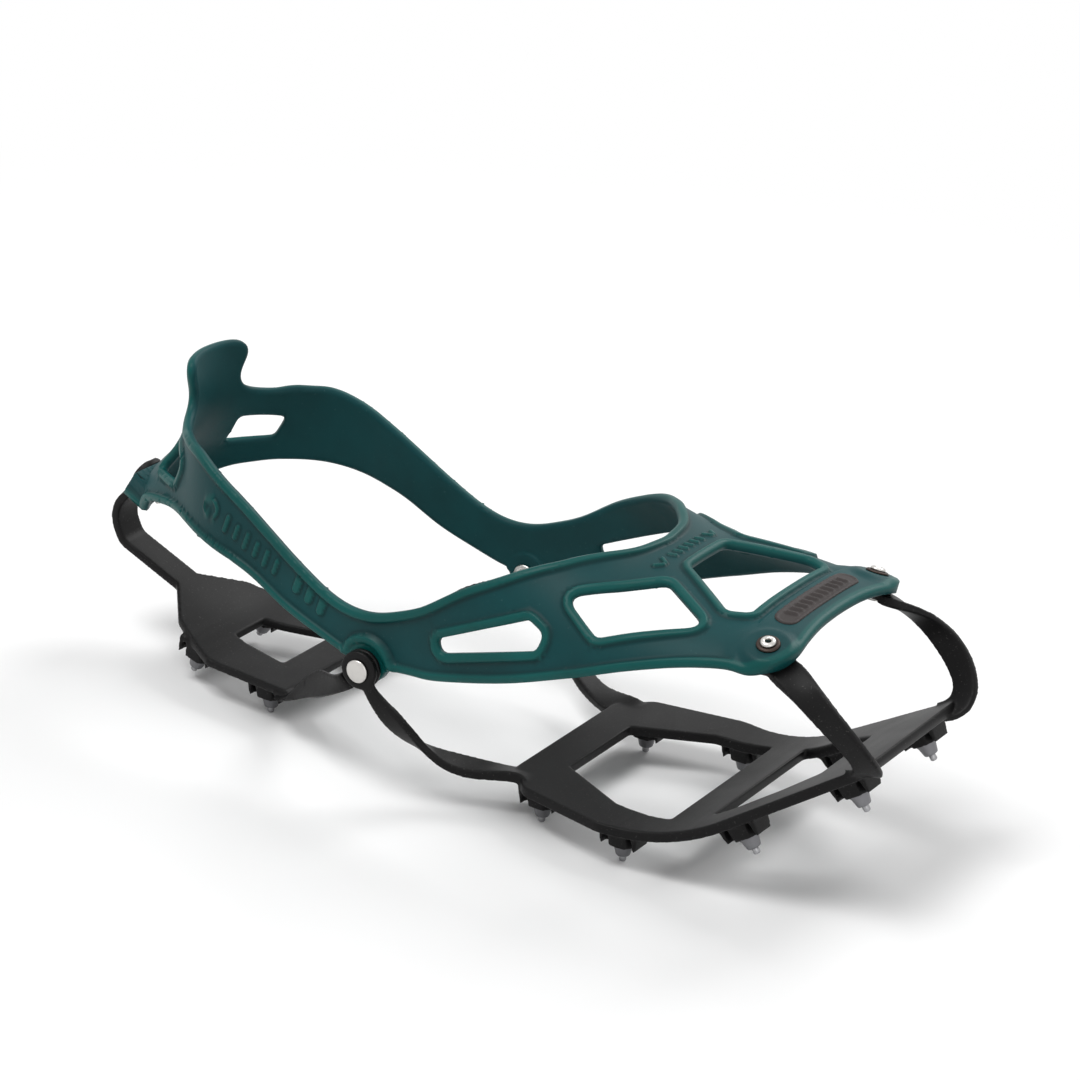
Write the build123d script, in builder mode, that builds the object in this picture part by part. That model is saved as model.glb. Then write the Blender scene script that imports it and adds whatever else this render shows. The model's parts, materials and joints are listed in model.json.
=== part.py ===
"""Slip-on crampons: an elastomer harness, two studded plates, and the rivets that join them.

The frame is +X to the toe, +Y to the wearer's left and +Z up. The origin is under the middle of the
length, on the surface that the stud tips stand on. The harness has the shape that it takes when worn.
"""
from build123d import *
import os
from math import atan2, cos, pi, radians, sin, tan

# ---------------------------------------------------------------- driving sizes, in millimetres
front_reach = 104.0            # middle of the foot to the front corners of the harness
front_hollow = 2.8             # how far its front edge is hollow between the corners
front_hollow_half = 30.0
arch_x = 41.0                  # rear edge of the harness arch, at its crest
hinge_x = -32.0                # side rivets
hinge_z = 40.5
heel_centre_x = -88.0          # where the straight sides turn into the round heel
heel_seat_x = -150.5           # middle of the flat seat under the heel strap
heel_seat_z = 55.0
heel_seat_lean = 28.7          # degrees by which the heel seat looks up

ball_half_width = 52.0         # harness, outside
waist_half_width = 47.0
heel_half_width = 43.5
toe_half_width = 45.0
arch_crest = 88.5
toe_crest = 83.5
harness_thickness = 3.2
band_gap = 0.3                 # between the three lengths of harness
bend_rear_x = hinge_x - 18.0   # the soft length over the hinge
bend_front_x = hinge_x + 18.0

arch_strut = 15.0              # harness left behind the centre window
front_strut = 21.0             # harness left in front of it
window_rear_half = 11.0
window_front_half = 25.0

tab_half_width = 16.0          # pull tab over the heel
tab_top = 105.5
tab_waist_half = 12.5
tab_waist_z = 93.0

stack_height = 14.0            # plate top to stud tip
plate_thickness = 3.4
lug_height = 5.0
lug_length = 13.0
lug_width = 10.0
toe_rise = 34.0                # degrees by which the toe of the forefoot plate turns up
toe_bend_radius = 60.0
toe_bend_x = 73.0
fore_plate_rear = 12.0
fore_plate_front = 129.0
fore_plate_half_width = 45.0
toe_plate_half_width = 29.0
rail_width = 13.0
heel_plate_front = -72.0
heel_plate_rear = -126.0
heel_plate_half_width = 31.0
heel_bend_x = -108.0
heel_bend_radius = 45.0

strap_width = 8.5
strap_thickness = 2.4
heel_strap_width = 11.0
arm_width = 7.0
ring_radius = 6.2
ring_relief = 2.4              # radial, round a ring where it lies against the harness
ring_thickness = 1.9
ring_gap = 0.2                 # between flat faces that turn on each other
seat_gap = 0.1                 # between flat faces that are clamped
bore_clearance = 0.08          # radial, rivet in its hole

side_rivet_head = 3.7
side_rivet_shank = 2.2
front_rivet_head = 2.4
front_rivet_shank = 1.7
front_rivet_bore = 0.9
front_washer_radius = 3.6
front_washer_thickness = 0.7
rivet_head_thickness = 1.2
rivet_cap_thickness = 1.0
front_rivet_setback = 8.5      # from the front edge of the harness
front_rivet_y = 33.5
front_seat_radius = 7.4
front_seat_rise = 0.9
seat_drop = 0.6                # rivet seats stand this far inside the harness
side_seat_rise = 0.6           # and this far outside it at the hinge
tab_radius = 6.0               # harness tab behind the rings
tab_edge = 0.6                 # between the edge of the tab and its flat seat
heel_rivet_head = 4.6
heel_rivet_shank = 2.4
heel_boss_width = 26.0
heel_boss_height = 15.0
heel_boss_rise = 3.0

badge_length = 44.0
badge_width = 7.5
badge_setback = 11.0
badge_rise = 0.9
badge_depth = 1.3
badge_clearance = 0.12

stud_radius = 3.2
stud_foot_radius = 2.0
stud_seat_depth = 3.0          # how far a stud stands into its lug
stud_fit = 0.03
carbide_radius = 1.1
carbide_height = 2.0
carbide_seat_depth = 1.6

fore_stud_places = ((24.0, 31.0), (56.0, 37.0), (91.0, 31.5), (120.0, 21.5))
heel_stud_places = ((-83.0, 22.5), (-113.0, 18.0))

# ---------------------------------------------------------------- outlines
# Harness edges seen from the side, as (x, z).
arch_front_x = arch_x + arch_strut
front_rivet_x = front_reach - front_rivet_setback
front_low_edge = ((bend_front_x + band_gap / 2, hinge_z + 2.5), (-7.0, 43.6), (17.0, 50.8), (38.5, 59.3),
                  (57.0, 67.0), (73.0, 72.5), (front_rivet_x - 8, 76.4))
toe_edge = ((front_rivet_x, 74.8), (front_reach, 77.5), (front_reach, tab_top), (arch_x + 3, tab_top),
            (arch_x, arch_crest + 1))
front_top_edge = ((arch_x, arch_crest + 1), (arch_x - 4, arch_crest + 0.2), (24.5, 86.8), (-1.5, 74.5),
                  (bend_front_x + band_gap / 2, 65.6))
bend_low_rear = ((bend_rear_x + band_gap / 2, 43.6), (hinge_x - 11, hinge_z + 0.8),
                 (hinge_x - tab_radius, hinge_z + 1))
bend_low_front = ((hinge_x + tab_radius, hinge_z + 1), (hinge_x + 11, hinge_z + 0.9),
                  (bend_front_x - band_gap / 2, hinge_z + 2.3))
bend_top_edge = ((bend_front_x - band_gap / 2, 65.3), (hinge_x, 57.5), (bend_rear_x + band_gap / 2, 58.8))
rear_low_edge = ((bend_rear_x - band_gap / 2, 43.6), (-65.0, 48.6), (-82.0, 56.4), (-105.0, 61.4),
                 (-122.0, 61.8), (-136.0, 57.0), (-146.0, 49.5))
rear_back_edge = ((-146.0, 49.5), (-160.0, 49.5), (-160.0, tab_top), (-112.0, tab_top), (-112.0, 91.5))
rear_top_edge = ((-112.0, 91.5), (-106.0, 89.8), (-84.0, 78.5), (-62.0, 65.5),
                 (bend_rear_x - band_gap / 2, 59.0))

# Windows. The rear side window is seen from the side; the front one square to the shoulder,
# as (x, height up the shoulder); the centre one from above; the heel one square to the heel.
rear_window = ((-7.0, 57.0), (22.5, 72.0), (28.5, 69.4), (27.5, 64.6), (-5.4, 53.4))
rear_window_corner = 1.3
front_window = ((31.0, 28.6), (55.4, 45.2), (75.3, 33.9), (45.2, 19.4))
front_window_corner = 3.0
centre_window = ((arch_front_x, window_rear_half), (front_reach - front_strut - 6, window_front_half),
                 (front_reach - front_strut, window_front_half - 3))
centre_window_corner = 2.5
heel_window_centre = (-126.5, 22.0, 73.6)
heel_window_slope = 0.7
heel_window = ((-9.5, 5.5), (-6.0, -7.0), (11.0, -4.5), (7.5, 3.0))
heel_window_corner = 1.6

# Middle lines of the straps and arms: (x, y, z), direction of travel, direction of the width,
# width, thickness. Distances across the foot are for the left side.
strap_middle = (
    ((129.5, 31.5, 52.5), (0.1, 0.35, 1), (0.95, -0.3, 0), strap_width, strap_thickness),
    ((121.5, 36.5, 63.5), (-0.62, 0.25, 0.72), (0.75, 0.1, 0.6), strap_width, strap_thickness),
    ((110.5, 35.6, 71.0), (-0.83, -0.05, 0.5), (0.42, -0.55, 0.72), strap_width, strap_thickness),
)
fore_arm_middle = (
    ((-15.5, 45.5, 21.0), (0.72, -0.4, -1), (1, 0.5, 0.5), arm_width, 2.6),
    ((-6.5, 40.0, 14.6), (0.85, -0.5, -0.45), (0.45, 0.8, -0.1), arm_width + 0.5, 2.8),
)
heel_arm_middle = (
    ((-53.0, 41.5, 26.0), (-1, -0.45, -0.4), (0.3, 0.5, -1), arm_width + 1.5, 2.6),
    ((-64.0, 33.5, 17.0), (-1, -0.6, -0.5), (-0.45, 1, -0.3), arm_width + 2, 2.7),
)
heel_strap_low = (-157.0, 32.0)
heel_strap_back = (-162.0, 42.0)

# ---------------------------------------------------------------- the shape the harness takes
# Cross sections of the worn harness: position, half width, height of the widest point,
# height of the crest, and how full the shoulder is.
girths = (
    (heel_centre_x, heel_half_width, 35.0, 135.0, 3.0),
    (hinge_x, waist_half_width, 37.5, 118.0, 2.8),
    (0.0, 49.5, 41.0, 104.0, 2.6),
    (arch_x, ball_half_width, 49.0, arch_crest + 1.0, 2.4),
    (arch_front_x, ball_half_width - 0.4, 53.0, arch_crest, 2.45),
    (0.5 * (arch_front_x + front_reach), 49.0, 58.5, 86.0, 2.65),
    (front_reach, toe_half_width, 67.0, toe_crest, 2.8),
    (front_reach + 8.0, toe_half_width - 3.0, 71.0, toe_crest - 1.4, 2.9),
)
# How far the heel stands behind heel_centre_x at each height.
heel_outline = ((30.0, 60.5), (48.0, 61.0), (59.0, 60.0), (67.0, 54.5), (75.0, 47.0), (83.0, 42.5),
                (91.0, 41.5), (110.0, 43.5))
heel_round = 38.5              # reach behind heel_centre_x of a plain round heel


def along(points, column, x):
    """Smooth curve through one column of a table, at x."""
    xs = [row[0] for row in points]
    ys = [row[column] for row in points]
    x = min(max(x, xs[0]), xs[-1])
    i = max(j for j in range(len(xs) - 1) if xs[j] <= x)

    def slope(j):
        low, high = max(j - 1, 0), min(j + 1, len(xs) - 1)
        return (ys[high] - ys[low]) / (xs[high] - xs[low])

    step = xs[i + 1] - xs[i]
    t = (x - xs[i]) / step
    return (ys[i] * (2 * t**3 - 3 * t**2 + 1) + slope(i) * step * (t**3 - 2 * t**2 + t)
            + ys[i + 1] * (3 * t**2 - 2 * t**3) + slope(i + 1) * step * (t**3 - t**2))


def girth(x, inset=0.0):
    width, spring, crest, fullness = (along(girths, column, x) for column in (1, 2, 3, 4))
    return width - inset, spring, crest - inset, fullness


def crest_height(x, y):
    """Height of the outside of the harness over (x, y)."""
    width, spring, crest, fullness = girth(x)
    return spring + (crest - spring) * (1 - min(abs(y) / width, 1) ** fullness) ** (1 / fullness)


def side_reach(x, z, inset=0.0):
    """Half width of the harness at (x, z)."""
    width, spring, crest, fullness = girth(x, inset)
    rise = min(max((z - spring) / (crest - spring), 0), 1)
    return width * (1 - rise**fullness) ** (1 / fullness)


def outward(x, y):
    """Unit normal of the harness over (x, y)."""
    step = 0.5
    slope_x = (crest_height(x + step, y) - crest_height(x - step, y)) / (2 * step)
    slope_y = (crest_height(x, y + step) - crest_height(x, y - step)) / (2 * step)
    return Vector(-slope_x, -slope_y, 1).normalized()


def front_last(inset):
    """The solid that the front of the harness is stretched over."""
    count = 14
    first, last = bend_rear_x - 4, front_reach + 6
    with BuildPart() as body:
        for i in range(count):
            x = first + (last - first) * i / (count - 1)
            width, spring, crest, fullness = girth(x, inset)
            angles = [pi * j / 16 for j in range(17)]
            arch = [(width * (1 if cos(a) > 0 else -1) * abs(cos(a)) ** (2 / fullness),
                     spring + (crest - spring) * sin(a) ** (2 / fullness)) for a in angles]
            with BuildSketch(Plane.YZ.offset(x)):
                with BuildLine():
                    Spline(*arch, tangents=((0, 1), (0, -1)))
                    Polyline(arch[-1], (-width, 10), (width, 10), arch[0])
                make_face()
        loft()
    return body.part


def heel_last(inset):
    """The solid that the heel of the harness is stretched over."""
    with BuildPart() as body:
        for z, _ in heel_outline:
            with BuildSketch(Plane.XY.offset(z)):
                side = side_reach(heel_centre_x, z, inset)
                back = along(heel_outline, 1, z) - inset
                half = []
                for i in range(6):
                    a = pi / 2 * i / 6
                    reach = side * sin(a)**2 + heel_round * cos(a)**2 + (back - heel_round) * cos(a)**6
                    half.append((heel_centre_x - reach * cos(a), reach * sin(a)))
                half.append((heel_centre_x, side))
                half.append((0.5 * (heel_centre_x + bend_rear_x), side_reach(
                    0.5 * (heel_centre_x + bend_rear_x), z, inset)))
                half.append((bend_rear_x + 3, side_reach(bend_rear_x + 3, z, inset)))
                ring = [(x, -y) for x, y in reversed(half[1:])] + half
                with BuildLine():
                    Spline(*ring)
                    Line(ring[-1], ring[0])
                make_face()
        loft()
    return body.part


made = []


def save(item, name):
    item.label = name
    made.append(item)


outer_front = front_last(0)
inner_front = front_last(harness_thickness)
outer_heel = heel_last(0)
inner_heel = heel_last(harness_thickness)
wide = 70.0

# ---------------------------------------------------------------- places that several pieces share
front_seat_normal = outward(front_rivet_x, front_rivet_y)
front_seat_point = Vector(front_rivet_x, front_rivet_y, crest_height(front_rivet_x, front_rivet_y))
side_seat_y = side_reach(hinge_x, hinge_z) + side_seat_rise
heel_normal = Vector(-cos(radians(heel_seat_lean)), 0, sin(radians(heel_seat_lean)))
heel_tangent = Vector(sin(radians(heel_seat_lean)), 0, cos(radians(heel_seat_lean)))
heel_seat_point = Vector(heel_seat_x, 0, heel_seat_z)


def front_seat(side, rise):
    """Plane square to a front rivet; side is 1 on the left and -1 on the right."""
    point = front_seat_point + front_seat_normal * rise
    return Plane(origin=(point.X, side * point.Y, point.Z), x_dir=(1, 0, 0),
                 z_dir=(front_seat_normal.X, side * front_seat_normal.Y, front_seat_normal.Z))


def side_seat(side, rise):
    return Plane(origin=(hinge_x, side * (side_seat_y + rise), hinge_z), x_dir=(1, 0, 0),
                 z_dir=(0, side, 0))


def heel_seat(rise):
    point = heel_seat_point + heel_normal * rise
    return Plane(origin=(point.X, 0, point.Z), x_dir=(0, 1, 0),
                 z_dir=(heel_normal.X, 0, heel_normal.Z))


sides = (("left", 1), ("right", -1))

# ---------------------------------------------------------------- badge and its pocket
badge_x = front_reach - badge_setback
badge_floor = front_last(badge_depth)
badge_body = front_last(badge_depth - bore_clearance)
badge_face = front_last(-badge_rise)

with BuildPart() as badge:
    with BuildSketch(Plane.XY.offset(toe_crest - 6)):
        with Locations((badge_x, 0)):
            SlotOverall(badge_length, badge_width, rotation=90)
    extrude(amount=20)
    add(badge_body, mode=Mode.SUBTRACT)
    add(badge_face, mode=Mode.INTERSECT)
save(badge.part, "badge")

with BuildPart() as pocket:
    with BuildSketch(Plane.XY.offset(toe_crest - 10)):
        with Locations((badge_x, 0)):
            SlotOverall(badge_length + 2 * badge_clearance, badge_width + 2 * badge_clearance, rotation=90)
    extrude(amount=30)
    add(badge_floor, mode=Mode.SUBTRACT)
badge_pocket = pocket.part

# ---------------------------------------------------------------- harness, front length
with BuildPart() as harness_front:
    add(outer_front)
    add(inner_front, mode=Mode.SUBTRACT)
    with BuildSketch(Plane.XZ):
        with BuildLine():
            Spline(*front_low_edge)
            Polyline(front_low_edge[-1], *toe_edge)
            Spline(*front_top_edge)
            Line(front_top_edge[-1], front_low_edge[0])
        make_face()
    extrude(amount=wide, both=True, mode=Mode.INTERSECT)
    # front corners, seen from above
    with BuildSketch(Plane.XY):
        with BuildLine():
            corner = ((bend_front_x - 5, ball_half_width + 8), (arch_front_x + 12, ball_half_width + 8),
                      (front_reach - 10, toe_half_width + 0.5), (front_reach, toe_half_width - 8))
            Polyline(*corner, *[(x, -y) for x, y in reversed(corner)], close=True)
        make_face()
        fillet(vertices().group_by(Axis.X)[-1], 6)
        with BuildLine():
            ThreePointArc((front_reach, front_hollow_half), (front_reach - front_hollow, 0),
                          (front_reach, -front_hollow_half))
            Line((front_reach, -front_hollow_half), (front_reach, front_hollow_half))
        make_face(mode=Mode.SUBTRACT)
    extrude(amount=2 * arch_crest, mode=Mode.INTERSECT)
    # centre window
    with BuildSketch(Plane.XY.offset(60)):
        with BuildLine():
            Polyline(*centre_window, *[(x, -y) for x, y in reversed(centre_window)], close=True)
        make_face()
        fillet(vertices(), centre_window_corner)
    extrude(amount=60, mode=Mode.SUBTRACT)
    for _, side in sides:
        # rear side window
        with BuildSketch(Plane.XZ.offset(-side * wide)):
            with BuildLine():
                Polyline(*rear_window, close=True)
            make_face()
            fillet(vertices(), rear_window_corner)
        extrude(amount=side * (wide - 30), mode=Mode.SUBTRACT)
        # front side window
        shoulder = Plane(origin=(0, 0, 0), x_dir=(1, 0, 0), z_dir=(0, side, 1))
        with BuildSketch(shoulder.offset(68)):
            with BuildLine():
                Polyline(*[(x, -side * v) for x, v in front_window], close=True)
            make_face()
            fillet(vertices(), front_window_corner)
        extrude(amount=40, mode=Mode.SUBTRACT)
        # thick seat for the front rivet
        with BuildSketch(front_seat(side, front_seat_rise)):
            Circle(front_seat_radius)
        extrude(amount=-(front_seat_rise + harness_thickness + seat_drop))
        with BuildSketch(front_seat(side, -harness_thickness - seat_drop)):
            Circle(front_seat_radius + 0.5)
        extrude(amount=-3 * harness_thickness, mode=Mode.SUBTRACT)
        with BuildSketch(front_seat(side, front_seat_rise)):
            Circle(front_rivet_shank + bore_clearance)
        extrude(amount=-3 * harness_thickness, both=True, mode=Mode.SUBTRACT)
    # pocket for the badge
    add(badge_pocket, mode=Mode.SUBTRACT)
save(harness_front.part, "harness_front")

# ---------------------------------------------------------------- harness, soft length over the hinge
seat_inner = side_seat_y - harness_thickness - 1.4
with BuildPart() as harness_bend:
    add(outer_front)
    add(inner_front, mode=Mode.SUBTRACT)
    with BuildSketch(Plane.XZ):
        with BuildLine():
            Spline(*bend_low_rear)
            ThreePointArc(bend_low_rear[-1], (hinge_x, hinge_z - tab_radius), bend_low_front[0])
            Spline(*bend_low_front)
            Line(bend_low_front[-1], bend_top_edge[0])
            Spline(*bend_top_edge)
            Line(bend_top_edge[-1], bend_low_rear[0])
        make_face()
    extrude(amount=wide, both=True, mode=Mode.INTERSECT)
    for _, side in sides:
        with BuildSketch(side_seat(side, 0)):
            Circle(tab_radius - tab_edge)
        extrude(amount=-(side_seat_y - seat_inner))
        with BuildSketch(side_seat(side, 0)):
            Circle(ring_radius + ring_relief)
        extrude(amount=2 * harness_thickness, mode=Mode.SUBTRACT)
        with BuildSketch(side_seat(side, 0)):
            Circle(side_rivet_shank + bore_clearance)
        extrude(amount=3 * harness_thickness, both=True, mode=Mode.SUBTRACT)
save(harness_bend.part, "harness_bend")

# ---------------------------------------------------------------- harness, heel length
tab_side = ((tab_half_width - 3, tab_top), (tab_half_width, tab_top - 3.5), (tab_waist_half, tab_waist_z),
            (tab_waist_half + 5, 89.0))
with BuildPart() as harness_rear:
    add(outer_heel)
    add(inner_heel, mode=Mode.SUBTRACT)
    with BuildSketch(Plane.XZ):
        with BuildLine():
            Spline(*rear_low_edge)
            Polyline(*rear_back_edge)
            Spline(*rear_top_edge)
            Line(rear_top_edge[-1], rear_low_edge[0])
        make_face()
    extrude(amount=wide, both=True, mode=Mode.INTERSECT)
    # pull tab, seen from behind
    with BuildSketch(Plane.YZ.offset(-170)):
        with BuildLine():
            Polyline((-tab_half_width + 3, tab_top), (tab_half_width - 3, tab_top))
            Spline(*tab_side)
            Polyline(tab_side[-1], (26, 87), (wide, 92), (wide, 30), (-wide, 30), (-wide, 92), (-26, 87),
                     (-tab_side[-1][0], tab_side[-1][1]))
            Spline(*[(-y, z) for y, z in reversed(tab_side)])
        make_face()
    extrude(amount=200, mode=Mode.INTERSECT)
    for _, side in sides:
        x, y, z = heel_window_centre
        with BuildSketch(Plane(origin=(x, side * y, z), x_dir=(1, side, 0),
                               z_dir=(-1, side, heel_window_slope))):
            with BuildLine():
                Polyline(*[(u, -side * v) for u, v in heel_window], close=True)
            make_face()
            fillet(vertices(), heel_window_corner)
        extrude(amount=22, both=True, mode=Mode.SUBTRACT)
    # boss under the heel strap
    with BuildSketch(heel_seat(0)):
        RectangleRounded(heel_boss_width, heel_boss_height, 2)
    extrude(amount=-(heel_boss_rise + harness_thickness + 1.0))
    with BuildSketch(heel_seat(0)):
        Rectangle(2 * heel_boss_width, heel_boss_height)
    extrude(amount=3 * harness_thickness, mode=Mode.SUBTRACT)
    with BuildSketch(heel_seat(0)):
        Circle(heel_rivet_shank + bore_clearance)
    extrude(amount=5 * harness_thickness, both=True, mode=Mode.SUBTRACT)
save(harness_rear.part, "harness_rear")

# ---------------------------------------------------------------- the plates
plate_mid = stack_height - plate_thickness / 2
rise = radians(toe_rise)
heel_strap_mid = strap_thickness / 2 + seat_gap


def arm(sections):
    """Loft a flat arm through (centre, direction of travel, direction of width, width, thickness)."""
    with BuildPart() as limb:
        for centre, travel, across, width, thickness in sections:
            with BuildSketch(Plane(origin=centre, x_dir=across, z_dir=travel)):
                Rectangle(width, thickness)
        loft()
    return limb.part


def lug(frame):
    """Ribbed block under a plate, with a round boss for its stud."""
    with BuildPart() as block:
        with BuildSketch(frame):
            Rectangle(lug_length, lug_width)
        extrude(amount=plate_thickness / 2)
        with BuildSketch(frame):
            Rectangle(lug_length, lug_width)
            with Locations((lug_length / 3.2, 0), (-lug_length / 3.2, 0)):
                Rectangle(lug_length / 12, 2 * lug_width, mode=Mode.SUBTRACT)
        extrude(amount=-lug_height, taper=8)
        with BuildSketch(frame.offset(-lug_height)):
            Circle(stud_radius + 1.3)
        extrude(amount=lug_height)
    return block.part


def socket(frame):
    """The hole that a stud is pressed into."""
    with BuildPart() as hole:
        with BuildSketch(frame.offset(-lug_height)):
            Circle(stud_radius + stud_fit)
        extrude(amount=stud_seat_depth)
        with BuildSketch(frame.offset(-lug_height)):
            Circle(stud_radius + stud_fit)
        extrude(amount=-lug_height)
    return hole.part


def fore_frame(x, y):
    """Plane on the underside of the forefoot plate, at x along its middle line, looking up."""
    bend_rear = toe_bend_x - toe_bend_radius * tan(rise / 2)
    bend_front = toe_bend_x + toe_bend_radius * tan(rise / 2) * cos(rise)
    if x <= bend_rear:
        height, lean = plate_mid, 0.0
    elif x <= bend_front:
        lean = min(rise, abs(radians(90) - atan2(
            (toe_bend_radius**2 - (x - bend_rear)**2) ** 0.5, x - bend_rear)))
        height = plate_mid + toe_bend_radius * (1 - cos(lean))
    else:
        height, lean = plate_mid + (x - toe_bend_x) * tan(rise), rise
    normal = Vector(-sin(lean), 0, cos(lean))
    point = Vector(x, y, height) - normal * (plate_thickness / 2)
    return Plane(origin=(point.X, point.Y, point.Z), x_dir=(cos(lean), 0, sin(lean)),
                 z_dir=(normal.X, normal.Y, normal.Z))


def heel_frame(x, y):
    """The same on the heel plate."""
    straight = heel_bend_x + heel_bend_radius * tan(heel_rise / 2)
    if x >= straight:
        lean, height = 0.0, plate_mid
    else:
        lean = min(heel_rise, abs(radians(90) - atan2(
            (heel_bend_radius**2 - (straight - x)**2) ** 0.5, straight - x)))
        height = plate_mid + heel_bend_radius * (1 - cos(lean))
    normal = Vector(sin(lean), 0, cos(lean))
    point = Vector(x, y, height) - normal * (plate_thickness / 2)
    return Plane(origin=(point.X, point.Y, point.Z), x_dir=(cos(lean), 0, -sin(lean)),
                 z_dir=(normal.X, normal.Y, normal.Z))


heel_rise = atan2(heel_strap_low[1] - plate_mid, heel_bend_x - heel_strap_low[0])
fore_studs = [fore_frame(x, side * y) for x, y in fore_stud_places for _, side in sides]
heel_studs = [heel_frame(x, side * y) for x, y in heel_stud_places for _, side in sides]

strap_end = front_seat_point - front_seat_normal * (harness_thickness + seat_drop + seat_gap
                                                    + strap_thickness / 2)
ring_mid_fore = side_seat_y + ring_gap + 1.5 * ring_thickness + ring_gap
ring_mid_heel = side_seat_y + ring_gap + 0.5 * ring_thickness



def on_side(side, sections):
    """Arm sections given for the left side, on the left (1) or the right (-1)."""
    return tuple((*((x, side * y, z) for x, y, z in section[:3]), *section[3:]) for section in sections)


fore_limbs = []
heel_limbs = []
for _, side in sides:
    fore_limbs.append(arm(on_side(side, (
        ((fore_plate_front - 4, toe_plate_half_width - 3,
          plate_mid + (fore_plate_front - 4 - toe_bend_x) * tan(rise)),
         (0.62, 0.45, 0.55), (0.62, -0.7, 0), strap_width + 1, strap_thickness),
        *strap_middle,
        ((strap_end.X, strap_end.Y, strap_end.Z), (-1, 0, 0.12),
         (0, front_seat_normal.Z, -front_seat_normal.Y), strap_width, strap_thickness)))))
    fore_limbs.append(arm(on_side(side, (
        ((hinge_x, ring_mid_fore, hinge_z), (0.8, 0, -1), (1, 0, 0.8), arm_width, ring_thickness),
        ((hinge_x + 7.5, ring_mid_fore - 0.4, hinge_z - 9), (0.75, -0.12, -1), (1, 0, 0.75),
         arm_width - 1.5, ring_thickness + 0.3),
        *fore_arm_middle,
        ((fore_plate_rear - 8, fore_plate_half_width - 10.5, plate_mid), (1, -0.4, 0), (0.4, 1, 0),
         arm_width + 2, plate_thickness - 0.3),
        ((fore_plate_rear + 8, fore_plate_half_width - 14, plate_mid), (1, -0.15, 0), (0.15, 1, 0),
         arm_width + 3, plate_thickness)))))
    heel_limbs.append(arm(on_side(side, (
        ((hinge_x, ring_mid_heel, hinge_z), (-1, 0, -0.9), (0.9, 0, -1), arm_width, ring_thickness),
        ((hinge_x - 9, ring_mid_heel, hinge_z - 8), (-1, -0.25, -0.75), (0.75, 0, -1), arm_width - 1,
         ring_thickness + 0.2),
        *heel_arm_middle,
        ((heel_plate_front - 5, heel_plate_half_width - 7, plate_mid), (-1, -0.3, 0), (-0.3, 1, 0),
         arm_width + 3, plate_thickness - 0.6)))))
fore_lugs = [lug(frame) for frame in fore_studs]
fore_sockets = [socket(frame) for frame in fore_studs]
heel_lugs = [lug(frame) for frame in heel_studs]
heel_sockets = [socket(frame) for frame in heel_studs]

with BuildPart() as forefoot_plate:
    with BuildSketch(Plane.XZ):
        with BuildLine():
            FilletPolyline((fore_plate_rear, plate_mid), (toe_bend_x, plate_mid),
                           (fore_plate_front, plate_mid + (fore_plate_front - toe_bend_x) * tan(rise)),
                           radius=toe_bend_radius)
        trace(line_width=plate_thickness)
    extrude(amount=wide, both=True)
    with BuildSketch(Plane.XY):
        with BuildLine():
            half = ((fore_plate_rear, fore_plate_half_width - 17),
                    (fore_plate_rear + 9, fore_plate_half_width - 6),
                    (toe_bend_x - 22, fore_plate_half_width), (toe_bend_x + 15, fore_plate_half_width - 5),
                    (fore_plate_front, toe_plate_half_width))
            Polyline(*half, *[(x, -y) for x, y in reversed(half)], close=True)
        make_face()
        fillet(vertices(), 6)
        with BuildLine():
            gap = ((fore_plate_rear + rail_width, fore_plate_half_width - 14 - rail_width),
                   (toe_bend_x - 24, fore_plate_half_width - 2 - rail_width),
                   (toe_bend_x - 5, fore_plate_half_width - 1 - rail_width))
            Polyline(*gap, *[(x, -y) for x, y in reversed(gap)], close=True)
        make_face(mode=Mode.SUBTRACT)
        with BuildLine():
            gap = ((toe_bend_x - 5 + rail_width, fore_plate_half_width - 4 - rail_width),
                   (toe_bend_x + 26, fore_plate_half_width - 10 - rail_width),
                   (fore_plate_front - rail_width - 8, toe_plate_half_width - rail_width))
            Polyline(*gap, *[(x, -y) for x, y in reversed(gap)], close=True)
        make_face(mode=Mode.SUBTRACT)
    extrude(amount=wide, mode=Mode.INTERSECT)
    add(fore_lugs)
    add(fore_limbs)
    add(fore_sockets, mode=Mode.SUBTRACT)
    for _, side in sides:
        with BuildSketch(front_seat(side, -(harness_thickness + seat_drop + seat_gap))):
            Circle(front_seat_radius + 1)
        extrude(amount=2 * harness_thickness, mode=Mode.SUBTRACT)
        with BuildSketch(front_seat(side, -(harness_thickness + seat_drop + seat_gap))):
            Circle(strap_width / 2 + 1.6)
        extrude(amount=-strap_thickness)
        with BuildSketch(front_seat(side, -(harness_thickness + seat_drop + seat_gap + strap_thickness))):
            Circle(strap_width / 2 + 1.6)
        extrude(amount=-strap_thickness, mode=Mode.SUBTRACT)
        with BuildSketch(front_seat(side, 0)):
            Circle(front_rivet_shank + bore_clearance)
        extrude(amount=-4 * harness_thickness, mode=Mode.SUBTRACT)
        with BuildSketch(side_seat(side, 2 * ring_gap + ring_thickness)):
            Circle(ring_radius)
        extrude(amount=ring_thickness)
        with BuildSketch(side_seat(side, 0)):
            Circle(side_rivet_shank + bore_clearance)
        extrude(amount=wide / 4, mode=Mode.SUBTRACT)
        with BuildSketch(side_seat(side, 2 * ring_gap + 2 * ring_thickness)):
            Circle(ring_radius + 1)
        extrude(amount=wide / 4, mode=Mode.SUBTRACT)
        with BuildSketch(side_seat(side, 0)):
            Circle(ring_radius + 1)
        extrude(amount=2 * ring_gap + ring_thickness, mode=Mode.SUBTRACT)
save(forefoot_plate.part, "forefoot_plate")

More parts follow.
